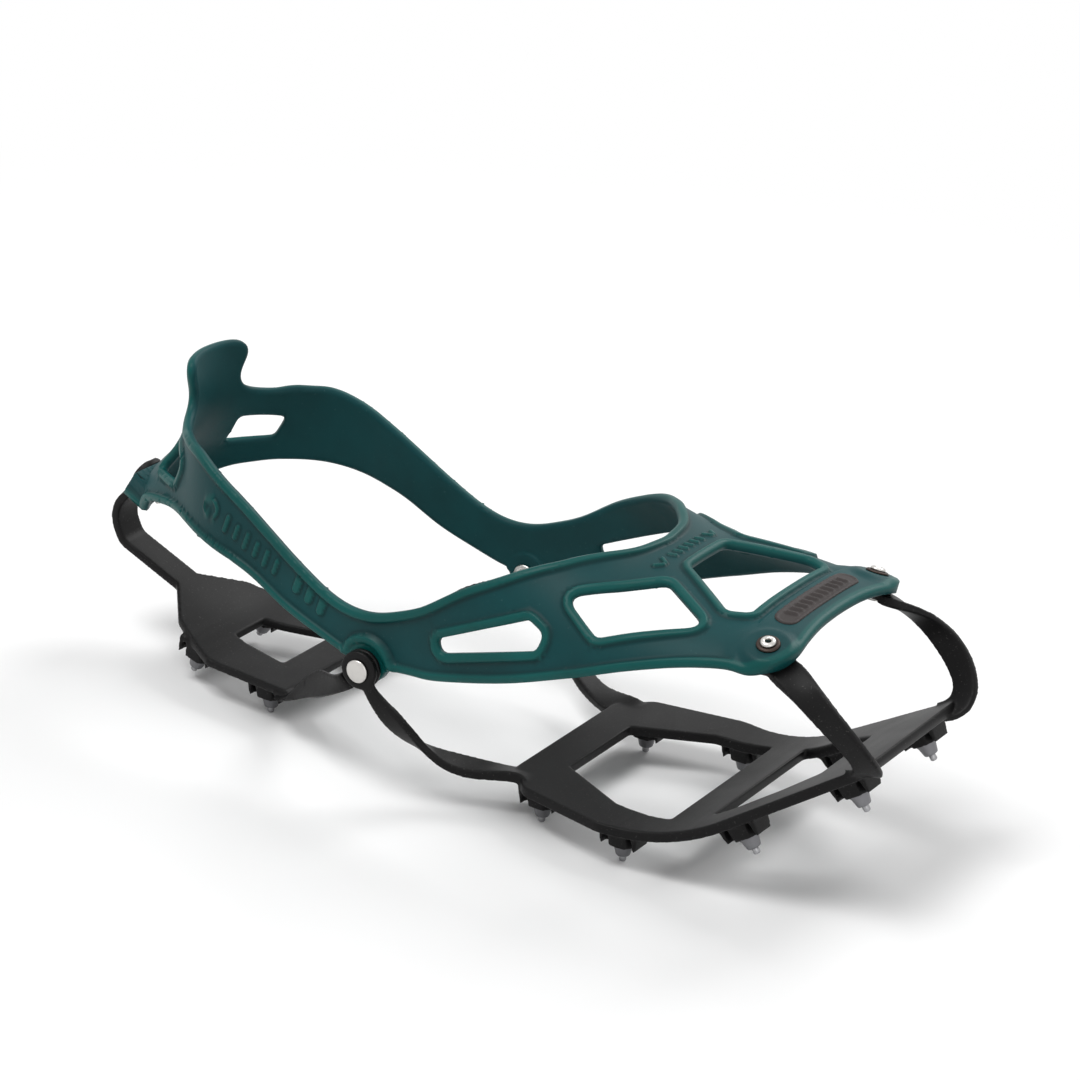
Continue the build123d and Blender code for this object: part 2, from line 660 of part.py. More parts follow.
with BuildPart() as heel_plate:
    with BuildSketch(Plane.XZ):
        with BuildLine():
            knot = heel_seat_point + heel_normal * heel_strap_mid - heel_tangent * heel_strap_width / 2
            FilletPolyline((heel_plate_front, plate_mid), (heel_bend_x, plate_mid), heel_strap_low,
                           heel_strap_back, (knot.X, knot.Z), radius=(heel_bend_radius, 6, 10))
        trace(line_width=plate_thickness - 0.6)
    extrude(amount=wide, both=True)
    with BuildSketch(Plane.XY):
        with BuildLine():
            half = ((heel_plate_front, heel_plate_half_width), (heel_bend_x + 3, heel_plate_half_width - 3),
                    (heel_plate_rear + 3, heel_plate_half_width - 12),
                    (heel_plate_rear - 8, heel_strap_width / 2),
                    (heel_plate_rear - 50, heel_strap_width / 2))
            Polyline(*half, *[(x, -y) for x, y in reversed(half)], close=True)
        make_face()
        with BuildLine():
            gap = ((heel_plate_front - rail_width, heel_plate_half_width - 4 - rail_width),
                   (heel_plate_rear + 18, heel_plate_half_width - 10 - rail_width))
            Polyline(*gap, *[(x, -y) for x, y in reversed(gap)], close=True)
        make_face(mode=Mode.SUBTRACT)
    extrude(amount=wide, mode=Mode.INTERSECT)
    add(heel_lugs)
    add(heel_limbs)
    add(heel_sockets, mode=Mode.SUBTRACT)
    with BuildSketch(heel_seat(seat_gap)):
        Circle(heel_strap_width / 2 + 1)
    extrude(amount=strap_thickness)
    with BuildSketch(heel_seat(seat_gap + strap_thickness)):
        Circle(heel_strap_width / 2 + 2)
    extrude(amount=10, mode=Mode.SUBTRACT)
    with BuildSketch(heel_seat(seat_gap)):
        Circle(heel_strap_width / 2 + 3)
    extrude(amount=-10, mode=Mode.SUBTRACT)
    with BuildSketch(heel_seat(0)):
        Circle(heel_rivet_shank + bore_clearance)
    extrude(amount=10, mode=Mode.SUBTRACT)
    for _, side in sides:
        with BuildSketch(side_seat(side, ring_gap)):
            Circle(ring_radius)
        extrude(amount=ring_thickness)
        with BuildSketch(side_seat(side, 0)):
            Circle(side_rivet_shank + bore_clearance)
        extrude(amount=wide / 4, mode=Mode.SUBTRACT)
        with BuildSketch(side_seat(side, ring_gap + ring_thickness)):
            Circle(ring_radius + 1)
        extrude(amount=wide / 4, mode=Mode.SUBTRACT)
        with BuildSketch(side_seat(side, 0)):
            Circle(ring_radius + 1)
        extrude(amount=ring_gap, mode=Mode.SUBTRACT)
save(heel_plate.part, "heel_plate")

# ---------------------------------------------------------------- rivets
for label, side in sides:
    with BuildPart() as side_rivet:
        stack = 2 * (ring_gap + ring_thickness) + seat_gap
        with BuildSketch(side_seat(side, stack)):
            Circle(side_rivet_head)
        extrude(amount=rivet_head_thickness)
        chamfer(side_rivet.edges().sort_by(Axis.Y)[-1 if side > 0 else 0], 0.4)
        with BuildSketch(side_seat(side, stack)):
            Circle(side_rivet_shank)
        extrude(amount=-(stack + side_seat_y - seat_inner + 2 * seat_gap + rivet_cap_thickness))
    save(side_rivet.part, f"side_rivet_{label}")

    with BuildPart() as side_rivet_cap:
        with BuildSketch(side_seat(side, seat_inner - side_seat_y - seat_gap)):
            Circle(side_rivet_head)
            Circle(side_rivet_shank + stud_fit, mode=Mode.SUBTRACT)
        extrude(amount=-rivet_cap_thickness)
    save(side_rivet_cap.part, f"side_rivet_cap_{label}")

    washer_low = front_seat_rise + seat_gap / 2
    head_low = washer_low + front_washer_thickness + seat_gap / 2
    cap_high = -(harness_thickness + seat_drop + 1.5 * seat_gap + strap_thickness)
    with BuildPart() as front_washer:
        with BuildSketch(front_seat(side, washer_low)):
            Circle(front_washer_radius)
            Circle(front_rivet_shank + bore_clearance, mode=Mode.SUBTRACT)
        extrude(amount=front_washer_thickness)
    save(front_washer.part, f"front_washer_{label}")

    with BuildPart() as front_rivet:
        with BuildSketch(front_seat(side, head_low)):
            Circle(front_rivet_head)
        extrude(amount=rivet_head_thickness)
        with BuildSketch(front_seat(side, head_low)):
            Circle(front_rivet_shank)
        extrude(amount=cap_high - head_low - rivet_cap_thickness)
        with BuildSketch(front_seat(side, head_low)):
            Circle(front_rivet_bore)
        extrude(amount=5 * harness_thickness, both=True, mode=Mode.SUBTRACT)
    save(front_rivet.part, f"front_rivet_{label}")

    with BuildPart() as front_rivet_cap:
        with BuildSketch(front_seat(side, cap_high)):
            Circle(front_rivet_head + 0.6)
            Circle(front_rivet_shank + stud_fit, mode=Mode.SUBTRACT)
        extrude(amount=-rivet_cap_thickness)
    save(front_rivet_cap.part, f"front_rivet_cap_{label}")

heel_head_low = seat_gap + strap_thickness + seat_gap
heel_cap_high = -(heel_boss_rise + harness_thickness + 1.0 + seat_gap)
with BuildPart() as heel_rivet:
    with BuildSketch(heel_seat(heel_head_low)):
        Circle(heel_rivet_head)
    extrude(amount=rivet_head_thickness)
    with BuildSketch(heel_seat(heel_head_low)):
        Circle(heel_rivet_shank)
    extrude(amount=heel_cap_high - heel_head_low - rivet_cap_thickness)
save(heel_rivet.part, "heel_rivet")

with BuildPart() as heel_rivet_cap:
    with BuildSketch(heel_seat(heel_cap_high)):
        Circle(heel_rivet_head)
        Circle(heel_rivet_shank + stud_fit, mode=Mode.SUBTRACT)
    extrude(amount=-rivet_cap_thickness)
save(heel_rivet_cap.part, "heel_rivet_cap")

# ---------------------------------------------------------------- studs
stud_drop = stack_height - plate_thickness - lug_height - carbide_height
for group, frames in (("front", fore_studs), ("heel", heel_studs)):
    for number, frame in enumerate(frames, start=1):
        base = frame.offset(-lug_height)
        tip = base.offset(-stud_drop)
        with BuildPart() as stud_body:
            with BuildSketch(base.offset(stud_seat_depth - stud_fit)):
                Circle(stud_radius)
            extrude(amount=-(stud_seat_depth - stud_fit) - 0.4)
            with BuildSketch(base.offset(-0.4)):
                Circle(stud_radius)
            with BuildSketch(tip):
                Circle(stud_foot_radius)
            loft()
            with BuildSketch(tip):
                Circle(carbide_radius + stud_fit)
            extrude(amount=carbide_seat_depth + stud_fit, mode=Mode.SUBTRACT)
        save(stud_body.part, f"stud_body_{group}_{number}")
        with BuildPart() as carbide_tip:
            with BuildSketch(tip.offset(carbide_seat_depth)):
                Circle(carbide_radius)
            extrude(amount=-(carbide_seat_depth + carbide_height))
        save(carbide_tip.part, f"carbide_tip_{group}_{number}")

# ---------------------------------------------------------------- written about the middle of the length
os.makedirs("parts", exist_ok=True)
boxes = [item.bounding_box() for item in made]
rear_end = min(box.min.X for box in boxes)
front_end = max(box.max.X for box in boxes)
ground = min(box.min.Z for box in boxes)
middle = (rear_end + front_end) / 2
for item in made:
    placed = Location((-middle, 0, -ground)) * item
    placed.label = item.label
    export_step(placed, f"parts/{item.label}.step")
print("length", front_end - rear_end, "hinge at", hinge_x - middle, hinge_z - ground)
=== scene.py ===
"""The looks of the slip-on crampons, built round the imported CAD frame."""
import json
from math import cos, pi, radians, sin, sqrt

import bmesh
import bpy
import numpy as np
from bpy.props import FloatProperty, FloatVectorProperty, PointerProperty
from mathutils import Matrix, Vector
from mathutils.geometry import delaunay_2d_cdt
from mathutils.kdtree import KDTree


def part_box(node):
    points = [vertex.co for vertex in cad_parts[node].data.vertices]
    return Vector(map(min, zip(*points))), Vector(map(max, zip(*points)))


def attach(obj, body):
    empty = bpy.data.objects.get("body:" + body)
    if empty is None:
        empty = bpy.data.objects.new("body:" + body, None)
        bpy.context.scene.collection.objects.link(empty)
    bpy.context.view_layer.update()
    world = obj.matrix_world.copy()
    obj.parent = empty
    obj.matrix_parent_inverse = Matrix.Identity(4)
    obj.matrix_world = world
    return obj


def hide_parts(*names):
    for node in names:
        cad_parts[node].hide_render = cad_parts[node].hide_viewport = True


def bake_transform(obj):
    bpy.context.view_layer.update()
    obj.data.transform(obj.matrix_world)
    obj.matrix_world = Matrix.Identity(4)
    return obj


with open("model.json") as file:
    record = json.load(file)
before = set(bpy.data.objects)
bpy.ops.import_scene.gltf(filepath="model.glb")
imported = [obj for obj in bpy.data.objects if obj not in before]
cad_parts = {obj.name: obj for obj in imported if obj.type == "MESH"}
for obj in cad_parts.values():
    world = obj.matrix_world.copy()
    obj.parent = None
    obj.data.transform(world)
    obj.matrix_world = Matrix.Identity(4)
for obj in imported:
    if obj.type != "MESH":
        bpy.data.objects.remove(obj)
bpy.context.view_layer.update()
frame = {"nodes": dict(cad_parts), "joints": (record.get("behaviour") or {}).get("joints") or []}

bl_info = {
    "name": "Slip-on Crampons",
    "version": (1, 0, 0),
    "blender": (4, 5, 0),
    "location": "View3D > Sidebar > Crampons",
    "description": "Makes the harness, plates, rivets and studs of a pair of slip-on crampons",
    "category": "Object",
}

FORE, HEEL = "forefoot", "heel"
MM = 0.001
SIDES = (("left", 1), ("right", -1))

# ------------------------------------------------------------------ the shape of the worn harness
# Lengths are in millimetres, measured from the middle of the foot as the part's own sizes are.
HINGE_X, HINGE_Z = -32.0, 40.5
HEEL_X = -88.0
FRONT_X = 104.0
ARCH_X = 41.0
THICKNESS = 3.2
TAB = 5.9                        # radius of the harness tab under each side rivet
ARC = 7.4                        # inner radius of the raised arc over that tab
STEP_X = 87.0                    # ahead of it the sheet is as thick as its rims
FRONT_HOLLOW = 2.8
LOOP_SPACING = 1.1
SMOOTHINGS = 6
SHEET_SPACING = 2.2
RIM_SLOPE = 0.8
EDGE_ROUND = 0.9                 # width and depth of the rounding along every outer edge
EDGE_DROP = 0.85
INNER_EDGE_DROP = 0.7
ARC_RISE = 1.2
FRONT_SEAT_RISE = 0.9
SIDE_SEAT_RISE = 0.6
SEAT_STEP = 1.2                  # how much thicker the sheet is behind a rivet
BOSS_HALF = (13.0, 7.5)          # half width and half height of the boss at the heel
SIDE_Y = 30.0                    # farther out than this is the side of the foot
HINGE = Vector(frame["joints"][0]["pos_m"])
SHIFT = np.array(HINGE) / MM - np.array((HINGE_X, 0.0, HINGE_Z))

# position, half width, height of the widest point, height of the crest, fullness of the shoulder
GIRTHS = (
    (HEEL_X, 43.5, 35.0, 135.0, 3.0),
    (HINGE_X, 47.0, 37.5, 118.0, 2.8),
    (0.0, 49.5, 41.0, 104.0, 2.6),
    (ARCH_X, 52.0, 49.0, 89.5, 2.4),
    (ARCH_X + 15.0, 51.6, 53.0, 88.5, 2.45),
    (80.0, 49.0, 58.5, 86.0, 2.65),
    (FRONT_X, 45.0, 67.0, 83.5, 2.8),
    (FRONT_X + 8.0, 42.0, 71.0, 82.1, 2.9),
)
# height, and how far the heel stands behind HEEL_X there
HEEL_OUTLINE = ((30.0, 60.5), (48.0, 61.0), (59.0, 60.0), (67.0, 54.5), (75.0, 47.0), (83.0, 42.5),
                (91.0, 41.5), (110.0, 43.5))
HEEL_ROUND = 38.5


def along(points, column, x):
    """Smooth curve through one column of a table, at the values x."""
    table = np.array(points, float)
    xs, ys = table[:, 0], table[:, column]
    x = np.clip(x, xs[0], xs[-1])
    i = np.clip(np.searchsorted(xs, x, side="right") - 1, 0, len(xs) - 2)
    slopes = np.empty(len(xs))
    slopes[1:-1] = (ys[2:] - ys[:-2]) / (xs[2:] - xs[:-2])
    slopes[0] = (ys[1] - ys[0]) / (xs[1] - xs[0])
    slopes[-1] = (ys[-1] - ys[-2]) / (xs[-1] - xs[-2])
    step = xs[i + 1] - xs[i]
    t = (x - xs[i]) / step
    return (ys[i] * (2 * t**3 - 3 * t**2 + 1) + slopes[i] * step * (t**3 - 2 * t**2 + t)
            + ys[i + 1] * (3 * t**2 - 2 * t**3) + slopes[i + 1] * step * (t**3 - t**2))


class Last:
    """The surface that the harness is stretched over, laid out flat.

    A flat point is (x, t). Ahead of HEEL_X, t is the length round the section from the crest.
    Behind it the sheet fans out round the heel, and the distance from (HEEL_X, 0) takes t's place.
    """

    step = 1.0
    reach = 150.0
    nudge = 0.3
    flattest = 0.02
    longest_move = 5
    tries = 60

    def __init__(self):
        self.xs = np.arange(HEEL_X, FRONT_X + 8.0, self.step)
        self.ts = np.arange(0.0, self.reach, self.step / 2)
        rows_y, rows_z = [], []
        angles = np.linspace(pi / 2, 0, 400)
        for x in self.xs:
            width, spring, crest, fullness = (along(GIRTHS, c, np.array([x]))[0] for c in (1, 2, 3, 4))
            y = width * np.abs(np.cos(angles)) ** (2 / fullness)
            z = spring + (crest - spring) * np.sin(angles) ** (2 / fullness)
            y, z = np.append(y, width), np.append(z, spring - self.reach)
            length = np.append(0, np.cumsum(np.hypot(np.diff(y), np.diff(z))))
            rows_y.append(np.interp(self.ts, length, y))
            rows_z.append(np.interp(self.ts, length, z))
        self.y, self.z = np.array(rows_y), np.array(rows_z)

    def place(self, flat):
        """Where flat points are on the surface."""
        flat = np.atleast_2d(np.asarray(flat, float))
        x, t = flat[:, 0], flat[:, 1]
        side = np.where(t < 0, -1.0, 1.0)
        out = np.empty((len(flat), 3))
        ahead = x >= HEEL_X
        i = np.clip((x - HEEL_X) / self.step, 0, len(self.xs) - 1.001)
        j = np.clip(np.abs(t) / (self.step / 2), 0, len(self.ts) - 1.001)
        i0, j0 = i.astype(int), j.astype(int)
        a, b = i - i0, j - j0
        for axis, grid in ((1, self.y), (2, self.z)):
            out[:, axis] = ((grid[i0, j0] * (1 - b) + grid[i0, j0 + 1] * b) * (1 - a)
                            + (grid[i0 + 1, j0] * (1 - b) + grid[i0 + 1, j0 + 1] * b) * a)
        out[:, 0] = x
        out[:, 1] *= side
        back = ~ahead
        if back.any():
            dx, tb = HEEL_X - x[back], np.abs(t[back])
            z = np.interp(np.hypot(dx, tb), self.ts, self.z[0])
            half = np.interp(np.hypot(dx, tb), self.ts, self.y[0])
            turn = np.arctan2(tb, dx)
            c, s = np.cos(turn), np.sin(turn)
            behind = along(HEEL_OUTLINE, 1, z)
            r = half * s**2 + HEEL_ROUND * c**2 + (behind - HEEL_ROUND) * c**6
            out[back] = np.stack([HEEL_X - r * c, side[back] * r * s, z], 1)
        return out

    def slopes(self, flat):
        """How the surface moves with each flat coordinate."""
        flat = np.atleast_2d(np.asarray(flat, float))
        e = self.nudge
        across = (self.place(flat + (e, 0)) - self.place(flat - (e, 0))) / (2 * e)
        round_ = (self.place(flat + (0, e)) - self.place(flat - (0, e))) / (2 * e)
        return across, round_

    def normal(self, flat):
        """Outward normals at flat points."""
        across, round_ = self.slopes(flat)
        n = np.cross(across, round_)
        return n / np.linalg.norm(n, axis=1)[:, None]

    def settle(self, wanted, first, second, start):
        """Flat points whose places, measured along two directions, have the wanted values."""
        wanted = np.atleast_2d(np.asarray(wanted, float))
        flat = np.array(start, float) * np.ones((len(wanted), 1))
        axes = np.array((first, second), float)
        for _ in range(self.tries):
            miss = self.place(flat) @ axes.T - wanted
            across, round_ = self.slopes(flat)
            jac = np.stack([across @ axes.T, round_ @ axes.T], 2)
            det = jac[:, 0, 0] * jac[:, 1, 1] - jac[:, 0, 1] * jac[:, 1, 0]
            least = np.where(det < 0, -self.flattest, self.flattest)
            det = np.where(np.abs(det) < self.flattest, least, det)
            du = (jac[:, 1, 1] * miss[:, 0] - jac[:, 0, 1] * miss[:, 1]) / det
            dv = (jac[:, 0, 0] * miss[:, 1] - jac[:, 1, 0] * miss[:, 0]) / det
            move = np.stack([du, dv], 1)
            length = np.linalg.norm(move, axis=1)[:, None]
            flat -= move * np.minimum(1, self.longest_move / np.maximum(length, 1e-9))
        return flat


LAST = Last()
X, Y, Z = np.eye(3)


def smooth_line(points, spacing=1.5):
    """Even points on a smooth open curve through the given points."""
    p = np.array(points, float)
    p = np.vstack([2 * p[0] - p[1], p, 2 * p[-1] - p[-2]])
    out = []
    for i in range(1, len(p) - 2):
        count = max(2, int(np.linalg.norm(p[i + 1] - p[i]) / spacing) + 1)
        for t in np.linspace(0, 1, count, endpoint=False):
            out.append(0.5 * (2 * p[i] + (p[i + 1] - p[i - 1]) * t
                              + (2 * p[i - 1] - 5 * p[i] + 4 * p[i + 1] - p[i + 2]) * t**2
                              + (3 * p[i] - p[i - 1] - 3 * p[i + 1] + p[i + 2]) * t**3))
    out.append(p[-2])
    return np.array(out)


def rounded(points, radius, spacing=1.0):
    """Even points round a closed outline with rounded corners."""
    p = np.array(points, float)
    out = []
    for i in range(len(p)):
        before, here, after = p[i - 1], p[i], p[(i + 1) % len(p)]
        to_before = (before - here) / np.linalg.norm(before - here)
        to_after = (after - here) / np.linalg.norm(after - here)
        half = np.arccos(np.clip(to_before @ to_after, -1, 1)) / 2
        cut = min(radius / np.tan(half), 0.45 * np.linalg.norm(before - here),
                  0.45 * np.linalg.norm(after - here))
        a, b = here + to_before * cut, here + to_after * cut
        for t in np.linspace(0, 1, 9):
            out.append((1 - t) ** 2 * a + 2 * t * (1 - t) * here + t**2 * b)
    return evenly(np.array(out), spacing)


def evenly(loop, spacing, measure=None):
    """A closed loop again, with even points."""
    shown = loop if measure is None else measure(loop)
    gaps = np.linalg.norm(np.roll(shown, -1, 0) - shown, axis=1)
    length = np.append(0, np.cumsum(gaps))
    count = max(8, int(round(length[-1] / spacing)))
    ring = np.vstack([loop, loop[:1]])
    at = np.linspace(0, length[-1], count, endpoint=False)
    return np.stack([np.interp(at, length, ring[:, k]) for k in range(loop.shape[1])], 1)


def inside(points, loops):
    """Which flat points are inside the outer loop and outside the rest."""
    a = np.vstack(loops)
    b = np.vstack([np.roll(loop, -1, 0) for loop in loops])
    out = np.zeros(len(points), bool)
    for first in range(0, len(points), 4000):
        x, y = points[first:first + 4000, :1], points[first:first + 4000, 1:2]
        span = (a[:, 1] > y) != (b[:, 1] > y)
        with np.errstate(divide="ignore", invalid="ignore"):
            cross = x < (b[:, 0] - a[:, 0]) * (y - a[:, 1]) / (b[:, 1] - a[:, 1]) + a[:, 0]
        out[first:first + 4000] = (np.count_nonzero(span & cross, axis=1) % 2) == 1
    return out


def smoothstep(low, high, x):
    """0 below low, 1 above high, and a smooth rise between them."""
    t = np.clip((x - low) / (high - low), 0, 1)
    return t * t * (3 - 2 * t)


def smooth_object(name, mesh):
    """A smooth-shaded piece of the scene."""
    for polygon in mesh.polygons:
        polygon.use_smooth = True
    piece = bpy.data.objects.new(name, mesh)
    bpy.context.scene.collection.objects.link(piece)
    return piece


def mesh_object(name, verts, faces):
    """A piece from places in millimetres, measured from the middle of the foot."""
    mesh = bpy.data.meshes.new(name)
    mesh.from_pydata([tuple((np.asarray(v) + SHIFT) * MM) for v in verts], [], faces)
    mesh.validate()
    mesh.update()
    return smooth_object(name, mesh)


def tree_of(points):
    """Search tree of places."""
    tree = KDTree(len(points))
    for i, p in enumerate(points):
        tree.insert(p, i)
    tree.balance()
    return tree


def distances(tree, points):
    """From each point to the nearest place in the tree."""
    return np.array([tree.find(p)[2] for p in points])


def skin(name, loops, rows, spacing, extra, raise_outer, raise_inner):
    """Closed sheet over the last, inside the first loop and outside the rest.

    raise_outer and raise_inner give the places of its two faces from the places on the last,
    the normals and the distances from the nearest edge.
    """
    edge = np.vstack([LAST.place(loop) for loop in loops])
    tree = tree_of(edge)
    points = [np.vstack(loops)]
    links, first = [], 0
    for loop in loops:
        n = len(loop)
        links += [(first + i, first + (i + 1) % n) for i in range(n)]
        first += n
        at = LAST.place(loop)
        ahead = np.roll(at, -1, 0) - np.roll(at, 1, 0)
        inward = np.cross(LAST.normal(loop), ahead)
        inward /= np.linalg.norm(inward, axis=1)[:, None]
        across, round_ = LAST.slopes(loop)
        g = np.stack([across, round_], 2)
        gram = np.einsum("nij,nik->njk", g, g)
        move = np.linalg.solve(gram, np.einsum("nij,ni->nj", g, inward)[:, :, None])[:, :, 0]
        if np.count_nonzero(inside(loop + move * 0.3, loops)) < n / 2:
            move = -move
        for row in rows:
            offset = loop + move * row
            keep = inside(offset, loops)
            offset = offset[keep]
            far = distances(tree, LAST.place(offset))
            points.append(offset[far > 0.9 * row])
    low, high = np.vstack(loops).min(0), np.vstack(loops).max(0)
    xs = np.arange(low[0], high[0], spacing)
    ys = np.arange(low[1], high[1], spacing)
    grid = np.stack(np.meshgrid(xs, ys), -1).reshape(-1, 2)
    grid[:, 0] += (np.floor(grid[:, 1] / spacing) % 2) * spacing / 2
    grid = np.vstack([grid] + list(extra))
    grid = grid[inside(grid, loops)]
    near = tree_of(np.vstack([LAST.place(p) for p in points]))
    grid = grid[distances(near, LAST.place(grid)) > 0.45 * min(spacing, 1.2)]
    points.append(grid)
    flat = np.vstack(points)
    made = delaunay_2d_cdt([Vector(p) for p in flat], links, [], 0, 1e-5, False)
    flat = np.array([tuple(v) for v in made[0]])
    triangles = np.array([f for f in made[2] if len(f) == 3])
    middle = flat[triangles].mean(1)
    triangles = triangles[inside(middle, loops)]
    used = np.unique(triangles)
    renumber = -np.ones(len(flat), int)
    renumber[used] = np.arange(len(used))
    flat, triangles = flat[used], renumber[triangles]
    place, normal = LAST.place(flat), LAST.normal(flat)
    away = distances(tree, place)
    outer = raise_outer(place, normal, away)
    inner = raise_inner(place, normal, away)
    n = len(flat)
    a, b, c = outer[triangles[:, 0]], outer[triangles[:, 1]], outer[triangles[:, 2]]
    facing = np.einsum("ni,ni->n", np.cross(b - a, c - a), normal[triangles[:, 0]])
    triangles[facing < 0] = triangles[facing < 0][:, ::-1]
    faces = [tuple(t) for t in triangles] + [tuple(t[::-1] + n) for t in triangles]
    sides = dict.fromkeys((t[k], t[(k + 1) % 3]) for t in triangles for k in range(3))
    walls = [(p, q) for p, q in sides if (q, p) not in sides]
    faces += [(q, p, p + n, q + n) for p, q in walls]
    piece = mesh_object(name, np.vstack([outer, inner]), [tuple(int(i) for i in f) for f in faces])
    return piece, place, away


def mirrored_loop(half):
    """Whole loop from the half with positive t, which starts and ends on the middle line."""
    other = half[1:-1][::-1] * (1, -1)
    return np.vstack([half, other])


def part_line(*runs):
    """Flat points through runs of (points, first direction, second direction, start)."""
    return np.vstack([LAST.settle(points, first, second, start) for points, first, second, start in runs])


def seat_plane(x, y):
    """Point and outward normal of a rivet seat over (x, y)."""
    flat = LAST.settle([(x, y)], X, Y, (x, y))
    return LAST.place(flat)[0], LAST.normal(flat)[0]


RIVET_X, RIVET_Y = FRONT_X - 8.5, 33.5
SIDE_START = (HINGE_X, 95.0)
FRONT_SEATS = [seat_plane(RIVET_X, side * RIVET_Y) for _, side in SIDES]
SIDE_SEAT_Y = LAST.place(LAST.settle([(HINGE_X, HINGE_Z)], X, Z, SIDE_START))[0, 1] + SIDE_SEAT_RISE
HEEL_LEAN = radians(28.7)
HEEL_SEAT = np.array((-150.5, 0.0, 55.0))
HEEL_OUT = np.array((-cos(HEEL_LEAN), 0.0, sin(HEEL_LEAN)))
HEEL_UP = np.array((sin(HEEL_LEAN), 0.0, cos(HEEL_LEAN)))


def outer_edge():
    """Lower and front edge, from the middle of the front round the right side to the heel."""
    low_front = smooth_line([(FRONT_X - FRONT_HOLLOW, 0), (FRONT_X - 2.35, 12), (FRONT_X - 1.0, 24),
                             (FRONT_X - 0.2, 30), (FRONT_X - 1.3, 35.2), (FRONT_X - 4.0, 39.4),
                             (FRONT_X - 7.8, 42)])
    low_side = smooth_line([(92.6, 75.2), (87, 75.6), (73, 72.5), (57, 67), (38.5, 59.3), (17, 50.8),
                            (-7, 43.6), (-16, 42.4), (-22.5, 41.4)])
    tab = [(HINGE_X + TAB * cos(a), HINGE_Z + TAB * sin(a))
           for a in np.linspace(radians(5), radians(-185), 20)]
    low_rear = smooth_line([(-41.5, 41.2), (-49, 43.4), (-65, 48.6), (-82, 56.4), (-105, 61.4),
                            (-120, 61.8), (-130, 59.6)])
    low_heel = smooth_line([(18.5, 55.5), (15.5, 51), (12.8, 48.6), (10, 48.2), (0, 48.2)])
    return part_line((low_front, X, Y, (95, 40)), (low_side, X, Z, (40, 85)), (tab, X, Z, SIDE_START),
                     (low_rear, X, Z, (-90, 90)), (low_heel, Y, Z, (-190, 20)))


def ankle_edge():
    """Upper edge, from the pull tab at the heel round the right side to the arch."""
    tab_half = smooth_line([(0, 105.5), (11.5, 105.5), (15.2, 104.2), (16, 101), (14, 97), (12.6, 93.4),
                            (13.6, 90.6), (18, 88.4), (25, 87.3)])
    top_side = smooth_line([(-112, 88), (-105, 87.8), (-95, 84), (-84, 78.5), (-73, 72), (-62, 65.5),
                            (-50, 59.4), (-41, 57), (-32, 57.5), (-23, 60.8), (-14, 65.4), (-1.5, 74.5),
                            (11, 81.6)])
    top_arch = smooth_line([(24.5, 32.6), (32, 23.5), (38.5, 13), (ARCH_X, 0)])
    return part_line((tab_half, Y, Z, (-150, 10)), (top_side, X, Z, (-60, 80)), (top_arch, X, Y, (30, 30)))


def heel_window():
    """Small window beside the heel, seen along its own normal."""
    along_x, up = (X + Y) / sqrt(2), np.array((-1, 1, 0.7))
    up = up / np.linalg.norm(up)
    along_y = np.cross(up, along_x)
    at = np.array((-126.5, 22, 73.6))
    outline = rounded([(-9.5, -5.5), (-6, 7), (11, 4.5), (7.5, -3)], 2)
    outline = outline * (1, -1 if along_y[2] < 0 else 1) + (at @ along_x, at @ along_y)
    return LAST.settle(outline, along_x, along_y, (-150, 60))


def harness_loops(spacing):
    """Flat loops of the harness: its two edges, then its windows."""
    loops = [mirrored_loop(outer_edge()), mirrored_loop(ankle_edge())]
    centre = rounded([(56, -11), (77, -25), (83, -22), (83, 22), (77, 25), (56, 11)], 3)
    loops.append(LAST.settle(centre, X, Y, (72, 0)))
    for _, side in SIDES:
        flip = np.array((1, side))
        rear = rounded([(-7.6, 57.2), (22.5, 72.2), (28.8, 69.6), (27.6, 64.4), (-5.6, 52.9)], 2.6)
        loops.append(LAST.settle(rear, X, Z, (12, 75)) * flip)
        front = rounded([(31, 28.6), (55.4, 45.2), (75.3, 33.9), (45.2, 19.4)], 3.4)
        loops.append(LAST.settle(front, X, (Z - Y) / sqrt(2), (50, 55)) * flip)
        loops.append(heel_window() * flip)
    loops = [evenly(loop, spacing, LAST.place) for loop in loops]
    for _ in range(SMOOTHINGS):
        loops[:2] = [(np.roll(loop, 1, 0) + 2 * loop + np.roll(loop, -1, 0)) / 4 for loop in loops[:2]]
    return loops


def bar_height(at, centre, direction, length, width, rise):
    """Height of a raised bar with round ends, at places measured as (x, z)."""
    d = np.array(direction, float)
    d /= np.linalg.norm(d)
    rel = at - np.array(centre)
    run = rel @ d
    off = rel - np.clip(run, -length / 2, length / 2)[:, None] * d
    return rise * (1 - smoothstep(width / 2 - 0.25, width / 2 + 0.35, np.linalg.norm(off, axis=1)))


